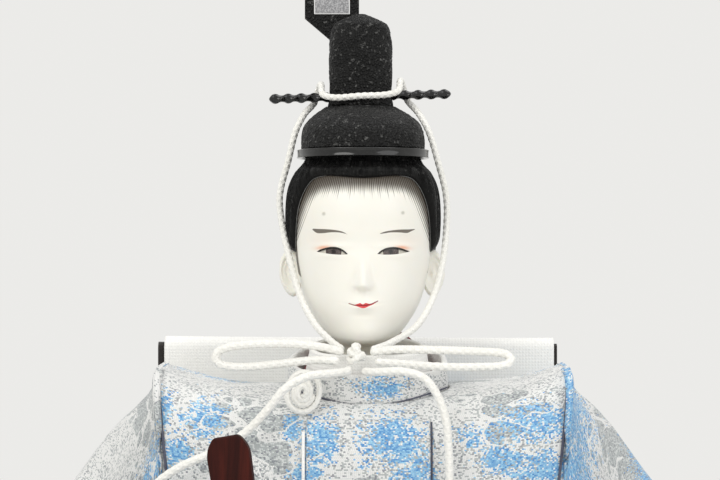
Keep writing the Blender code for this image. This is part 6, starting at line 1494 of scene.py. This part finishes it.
def fold_point(x, share, inset):
    """Up the front leaf, over the fold, down the back leaf and out along the floor."""
    depth, front, top, floor, tail = 0.0075, CHEST_BACK + 0.0012 + GAP * 3, 0.1548, 0.0005, 0.045
    half, bend = depth / 2, depth * 2
    middle = front + half
    fold = math.pi * (1 - (share - 0.3) / 0.2)
    curve = math.pi * (1 + 0.5 * (share - 0.8) / 0.1)
    parts = (
        (front + inset, floor + (top - half - floor) * share / 0.3),
        (middle + (half - inset) * np.cos(fold), top - half + (half - inset) * np.sin(fold)),
        (middle + half - inset, top - half + (floor + bend - top + half) * (share - 0.5) / 0.3),
        (middle + half + bend + (bend + inset) * np.cos(curve), floor + bend + (bend + inset) * np.sin(curve)),
        (middle + half + bend + tail * (share - 0.9) / 0.1, floor - inset + 0 * share),
    )
    limits = [share <= 0.3, share <= 0.5, share <= 0.8, share <= 0.9, share <= 2.0]
    y = np.select(limits, [part[0] for part in parts])
    z = np.select(limits, [part[1] for part in parts])
    return np.stack([x, y, z + 0.0016 + 0.0008 + GAP], -1)


def add_train():
    share = np.concatenate([shares(60, 0, 0.3)[:-1], shares(30, 0.3, 0.5)[:-1], shares(60, 0.5, 0.8)[:-1],
                            shares(24, 0.8, 0.9)[:-1], shares(24, 0.9, 1.0)])
    for name, source, left, right, inset, wall, look in (
            ("white_train", "train_cloth", -0.0635, 0.0612, 0.0, 0.0015, "white_silk"),
            ("dark_lining", "train_lining", -0.0657, 0.0624, 0.0019, 0.0007, "dark_silk")):
        s, x = np.meshgrid(share, shares(110, left, right), indexing="ij")
        points = fold_point(x, s, inset + 0 * s)
        normal = grid_normals(points, False)
        points = points + normal * (ripple(points, 0.06, 95, count=6) * 0.0002)[..., None]
        obj = grid_piece(name, points, LOOKS[look], "trunk", wall=wall, flip=False)
        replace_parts(obj, source)


add_train()

# Lap: hakama, skirt, hem band and sash

LAP_HALF, LAP_TOP, LAP_REACH, SKIRT_HEM, FOLD_DEPTH = 0.0575, 0.060, 0.066, 0.015, 0.0011
HEM_BAND_WALL, HEM_BAND_TOP, HAKAMA_HEM, HAKAMA_INSET = 0.0012, 0.031, 0.0022, 0.0019


def lap_point(x_share, turn, inset, low, puff=0.0):
    """A point of the domed lap: turn is 0 at the front hem and 1 at the waist."""
    angle = turn * math.pi / 2
    forward = np.maximum(np.cos(angle), 0.0) ** (2 / 2.6)
    rise = np.maximum(np.sin(angle), 0.0) ** (2 / 2.6)
    slope = (1 - np.minimum(np.abs(x_share), 1.0) ** 4) ** 0.25
    fold = FOLD_DEPTH * np.cos(7 * x_share * math.pi) * forward ** 2 * slope
    reach = (LAP_REACH - inset + fold) * (0.80 + 0.20 * slope)
    height = low + (LAP_TOP - low - inset) * rise * slope
    puff_top = SKIRT_HEM * 0.86
    bulge = puff * np.sin(math.pi * np.clip((puff_top - height) / puff_top, 0.0, 1.0)) ** 2 * slope ** 0.5
    return np.stack([x_share * (LAP_HALF - inset), -(CHEST_FRONT + GAP * 2 + reach * forward + bulge), height], -1)


def turn_at(height, low, inset):
    share = np.clip((height - low) / (LAP_TOP - low - inset), 0, 1)
    return np.arcsin(share ** 1.3) / (math.pi / 2)


def lap_piece(name, source, columns, turns, inset, wall, low, look, puff=0.0, seed=100):
    turn, x = np.meshgrid(turns, columns, indexing="ij")
    points = lap_point(x, turn, inset, low, puff)
    normal = grid_normals(points, False)
    soft = ripple(points, 0.013, seed, (1, 0.5, 0.5), 8) * 0.00016 + ripple(points, 0.045, seed + 1, count=6) * 0.0003
    points = points - normal * (np.abs(soft) * np.clip((1 - np.abs(x)) * 8, 0, 1))[..., None]
    obj = grid_piece(name, points, LOOKS[look], "trunk", wall=wall)
    if look == "brocade":
        place = vertex_places(obj)
        pattern_layer(obj, drifts(place, 47), drifts(place, 48))
    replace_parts(obj, source)
    return obj


def add_lap():
    across = np.sin(shares(260, -1, 1) * math.pi / 2)
    fall = np.concatenate([shares(90, 0, 0.9)[:-1], 0.9 + 0.1 * shares(30, 0, 1)])
    band_turns = shares(40, 0, turn_at(HEM_BAND_TOP, SKIRT_HEM, 0))
    lap_piece("brocade_skirt", "robe_skirt", across, fall, 0.0, 0.0012, SKIRT_HEM, "brocade", seed=101)
    lap_piece("hem_band", "robe_hem_band", across[8:-8], band_turns, -GAP - HEM_BAND_WALL, HEM_BAND_WALL, SKIRT_HEM,
              "brocade", seed=101)
    for side, hand in (("right", -1), ("left", 1)):
        start = 0.0016 / LAP_HALF
        columns = hand * (start + (1 - start) * np.sin(shares(140, 0, 1) * math.pi / 2))
        columns = columns if hand > 0 else columns[::-1]
        lap_piece("white_hakama_" + side, "hakama_" + side, columns, fall, HAKAMA_INSET, 0.0012, HAKAMA_HEM,
                  "white_brocade", 0.0080, 103)
        height, x = np.meshgrid(shares(20, 0.0005, 0.0095), columns, indexing="ij")
        points = lap_point(x, 0 * x, HAKAMA_INSET + 0.0003, HAKAMA_HEM, 0.0080)
        points[..., 2] = height
        points[..., 1] += 0.0014 * soft_step((height - HAKAMA_HEM) / 0.0008)
        obj = grid_piece("hakama_hem_" + side, points, LOOKS["red_silk"], "trunk", wall=0.0009)
        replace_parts(obj, "hakama_lining_" + side)
    x = shares(60, -0.0115, 0.0115) / LAP_HALF
    turn, x = np.meshgrid(shares(150, 0, 1), x, indexing="ij")
    lift = 0.00235 + (0.00085 - 0.00235) * soft_step((turn - 0.35) / 0.35) + 0.0008
    points = lap_point(x, turn, -lift, SKIRT_HEM)
    obj = grid_piece("silk_sash", points, LOOKS["sash"], "trunk", wall=0.0008)
    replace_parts(obj, "hirao_sash")


add_lap()


# Button, belt, hands, baton and sword

def add_button():
    """A coil of plait with a loop of the same plait round it, as on the right of the collar."""
    height = NECK_SEAT + 0.0090
    seat = panel_point(np.array(-0.0172), np.array(height - 0.0065), GAP + 0.0008)
    centre = np.array((-0.0172, seat[1], height))
    lean = math.radians(12)
    side = np.array((math.cos(lean), 0, -math.sin(lean)))
    top = np.array((math.sin(lean), 0, math.cos(lean)))
    loop = ovals(centre[None], side[None] * 0.0046, top[None] * 0.0057, 2.1, 24)[0]
    obj = braid("braided_loop", np.concatenate([loop, loop[:2]]), 0.00082)[0]
    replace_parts(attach(obj, "trunk"), "tombo_loop")
    turn = shares(90, 0.0, 2.35) * math.tau
    reach = 1 - 0.80 * turn / turn[-1]
    coil = (centre + side * (np.cos(turn) * reach * 0.0030)[:, None] + top * (-np.sin(turn) * reach * 0.0041)[:, None])
    coil[:, 1] -= 0.0002 + 0.0010 * (1 - reach)
    obj = braid("coiled_button", coil, 0.00088)[0]
    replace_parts(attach(obj, "trunk"), "tombo_button")


def add_belt():
    across = np.concatenate([shares(110, -1, 1), shares(110, 1, -1)])
    front = np.arange(220) < 110
    rings = []
    for margin, height in ((GAP, 0.0), (GAP + 0.0009, 0.0), (GAP + 0.0012, 0.0003), (GAP + 0.00125, 0.0012),
                           (GAP + 0.00110, 0.0014), (GAP + 0.00110, 0.0056), (GAP + 0.00125, 0.0058),
                           (GAP + 0.0012, 0.0067), (GAP + 0.0009, 0.0070), (GAP, 0.0070)):
        slack = CHEST_SLACK * np.abs(across) ** 3
        y = np.where(front, -(GAP / 2 + CHEST_FRONT - slack + margin), GAP / 2 + CHEST_BACK - slack + margin)
        rings.append(np.stack([across * (CHEST_HALF + margin), y, np.full(220, WAIST + height)], 1))
    obj = grid_piece("leather_belt", np.array(rings), LOOKS["leather"], "trunk", closed=True, loop=True)
    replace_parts(obj, "belt")


def add_hands():
    for side in ("right", "left"):
        smooth_copy("painted_hand_" + side, "hand_" + side, LOOKS["gesso"], "trunk", 0.00030, 5)


def unit(vector):
    vector = np.array(vector, float)
    return vector / np.linalg.norm(vector)


def add_shaku():
    axis = unit((-0.156, 0.130, 0.979))
    top = np.array((-0.2362 * SPREAD, -0.8673 * FORWARD, 0.9123 * SHOULDER))
    foot = top - axis * 0.092
    outward = np.array((-1, 0.35, 0.10))
    outward = unit(outward - axis * (outward @ axis))
    across = np.cross(axis, outward)
    end = np.array((1.0, 0.9985, 0.995))
    level = np.concatenate([1 - end, shares(60, 0.01, 0.93), 0.93 + 0.07 * np.sin(shares(16, 0.1, 1) * math.pi / 2)])
    width = 0.0078 + 0.0046 * level
    rounding = np.clip(level - 0.93, 0, 1) / 0.07
    width = width * (1 - 0.45 * rounding ** 2.5)
    edge = np.minimum(level, 1 - level) * 0.092
    bevel = np.sqrt(np.clip(1 - (1 - np.clip(edge / 0.0005, 0, 1)) ** 2, 0.25, 1))
    points = ovals(foot + axis * (0.092 * level)[:, None], outward * (width / 2 * (0.9 + 0.1 * bevel))[:, None],
                   across * (0.0012 * bevel)[:, None], 6.5, 72)
    obj = capped_grid("wooden_shaku", points, LOOKS["shaku"], "shaku")
    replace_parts(obj, "shaku")


SWORD_AXIS = unit((-0.07, -0.92, 0.38))
SWORD_POINT = np.array((0.0668, -0.0300, 0.0720))


def sword_rings(places, half_widths, half_depths, power, count=56):
    side = unit(np.cross(SWORD_AXIS, (0, 0, 1)))
    top = unit(np.cross(side, SWORD_AXIS))
    places, half_widths, half_depths = (np.asarray(value, float)[:, None] for value in (places, half_widths, half_depths))
    return ovals(SWORD_POINT + SWORD_AXIS * places, side * half_depths, top * half_widths, power, count)


def add_sword():
    mouth, rear = 0.0300, -0.1060
    outside = [(-0.0937, 0.92), (-0.0934, 1.0)] + [(place, 1.0) for place in shares(20, -0.090, 0.0294)] + [(0.0300, 0.93)]
    rings = [sword_rings([place], [0.0040 * size], [0.0027 * size], 2.2) for place, size in outside]
    rings += [sword_rings([place], [0.0025], [0.0010], 4) for place in (mouth, 0.0296, 0.0, -0.0923)]
    obj = capped_grid("lacquer_scabbard", np.concatenate(rings), LOOKS["lacquer"], "trunk")
    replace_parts(obj, "scabbard")
    rings = [sword_rings([rear + 0.012 * share], [0.0040 * size], [0.0027 * size], 2.2) for share, size in (
        (0.0, 0.30), (0.02, 0.62), (0.08, 0.82), (0.20, 1.0), (0.60, 1.04), (0.90, 1.06), (0.93, 1.12), (0.98, 1.12), (1.0, 1.05))]
    obj = capped_grid("gilt_chape", np.concatenate(rings), LOOKS["gilt"], "trunk")
    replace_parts(obj, "scabbard_cap")
    rings = [sword_rings([0.0303 + 0.0014 * share], [0.0056 * size], [0.00403 * size], 3.2) for share, size in (
        (0.0, 0.90), (0.12, 0.97), (0.30, 1.0), (0.70, 1.0), (0.88, 0.97), (1.0, 0.90))]
    obj = capped_grid("gilt_guard", np.concatenate(rings), LOOKS["gilt"], "sword")
    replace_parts(obj, "sword_guard")
    share = shares(160)
    waist = 1 - 0.14 * np.sin(math.pi * share)
    points = sword_rings(0.0320 + 0.030 * share, 0.0034 * waist, 0.0025 * waist, 2.4, 64)
    around = math.tau * (np.arange(64) + 0.5) / 64
    wraps = np.maximum(np.cos(around[None] + share[:, None] * 26), np.cos(around[None] - share[:, None] * 26)) ** 4
    centre = SWORD_POINT + SWORD_AXIS * (0.0320 + 0.030 * share)[:, None]
    points = centre[:, None] + (points - centre[:, None]) * (1 - 0.05 * (1 - wraps))[..., None]
    obj = capped_grid("wrapped_hilt", points, LOOKS["rayskin"], "sword")
    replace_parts(obj, "sword_hilt")
    rings = [sword_rings([0.0623 + 0.0034 * share], [0.0034 * size], [0.0025 * size], 2.4) for share, size in (
        (0.0, 1.05), (0.05, 1.12), (0.30, 1.15), (0.60, 1.16), (0.80, 1.08), (0.92, 0.92), (1.0, 0.62))]
    obj = capped_grid("gilt_pommel", np.concatenate(rings), LOOKS["gilt"], "sword")
    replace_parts(obj, "sword_pommel")


def dress(look, *names):
    """Give hard CAD pieces that stay as they are their own material."""
    for name in names:
        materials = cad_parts[name].data.materials
        materials.clear()
        materials.append(LOOKS[look])


add_button()
add_belt()
add_hands()
add_shaku()
add_sword()
dress("plain_wood", "base_board", "neck_peg")
dress("straw", "straw_core", "leg_block")
dress("wadding", "arm_right", "arm_left")
dress("steel", "sword_blade")
dress("gilt", "scabbard_hanger_front", "scabbard_hanger_rear")
dress("crown_lacquer", "ei_socket")
dress("crepe", "ei_frame")
dress("gauze", "ei_gauze")


SCENE.view_settings.view_transform = "Standard"
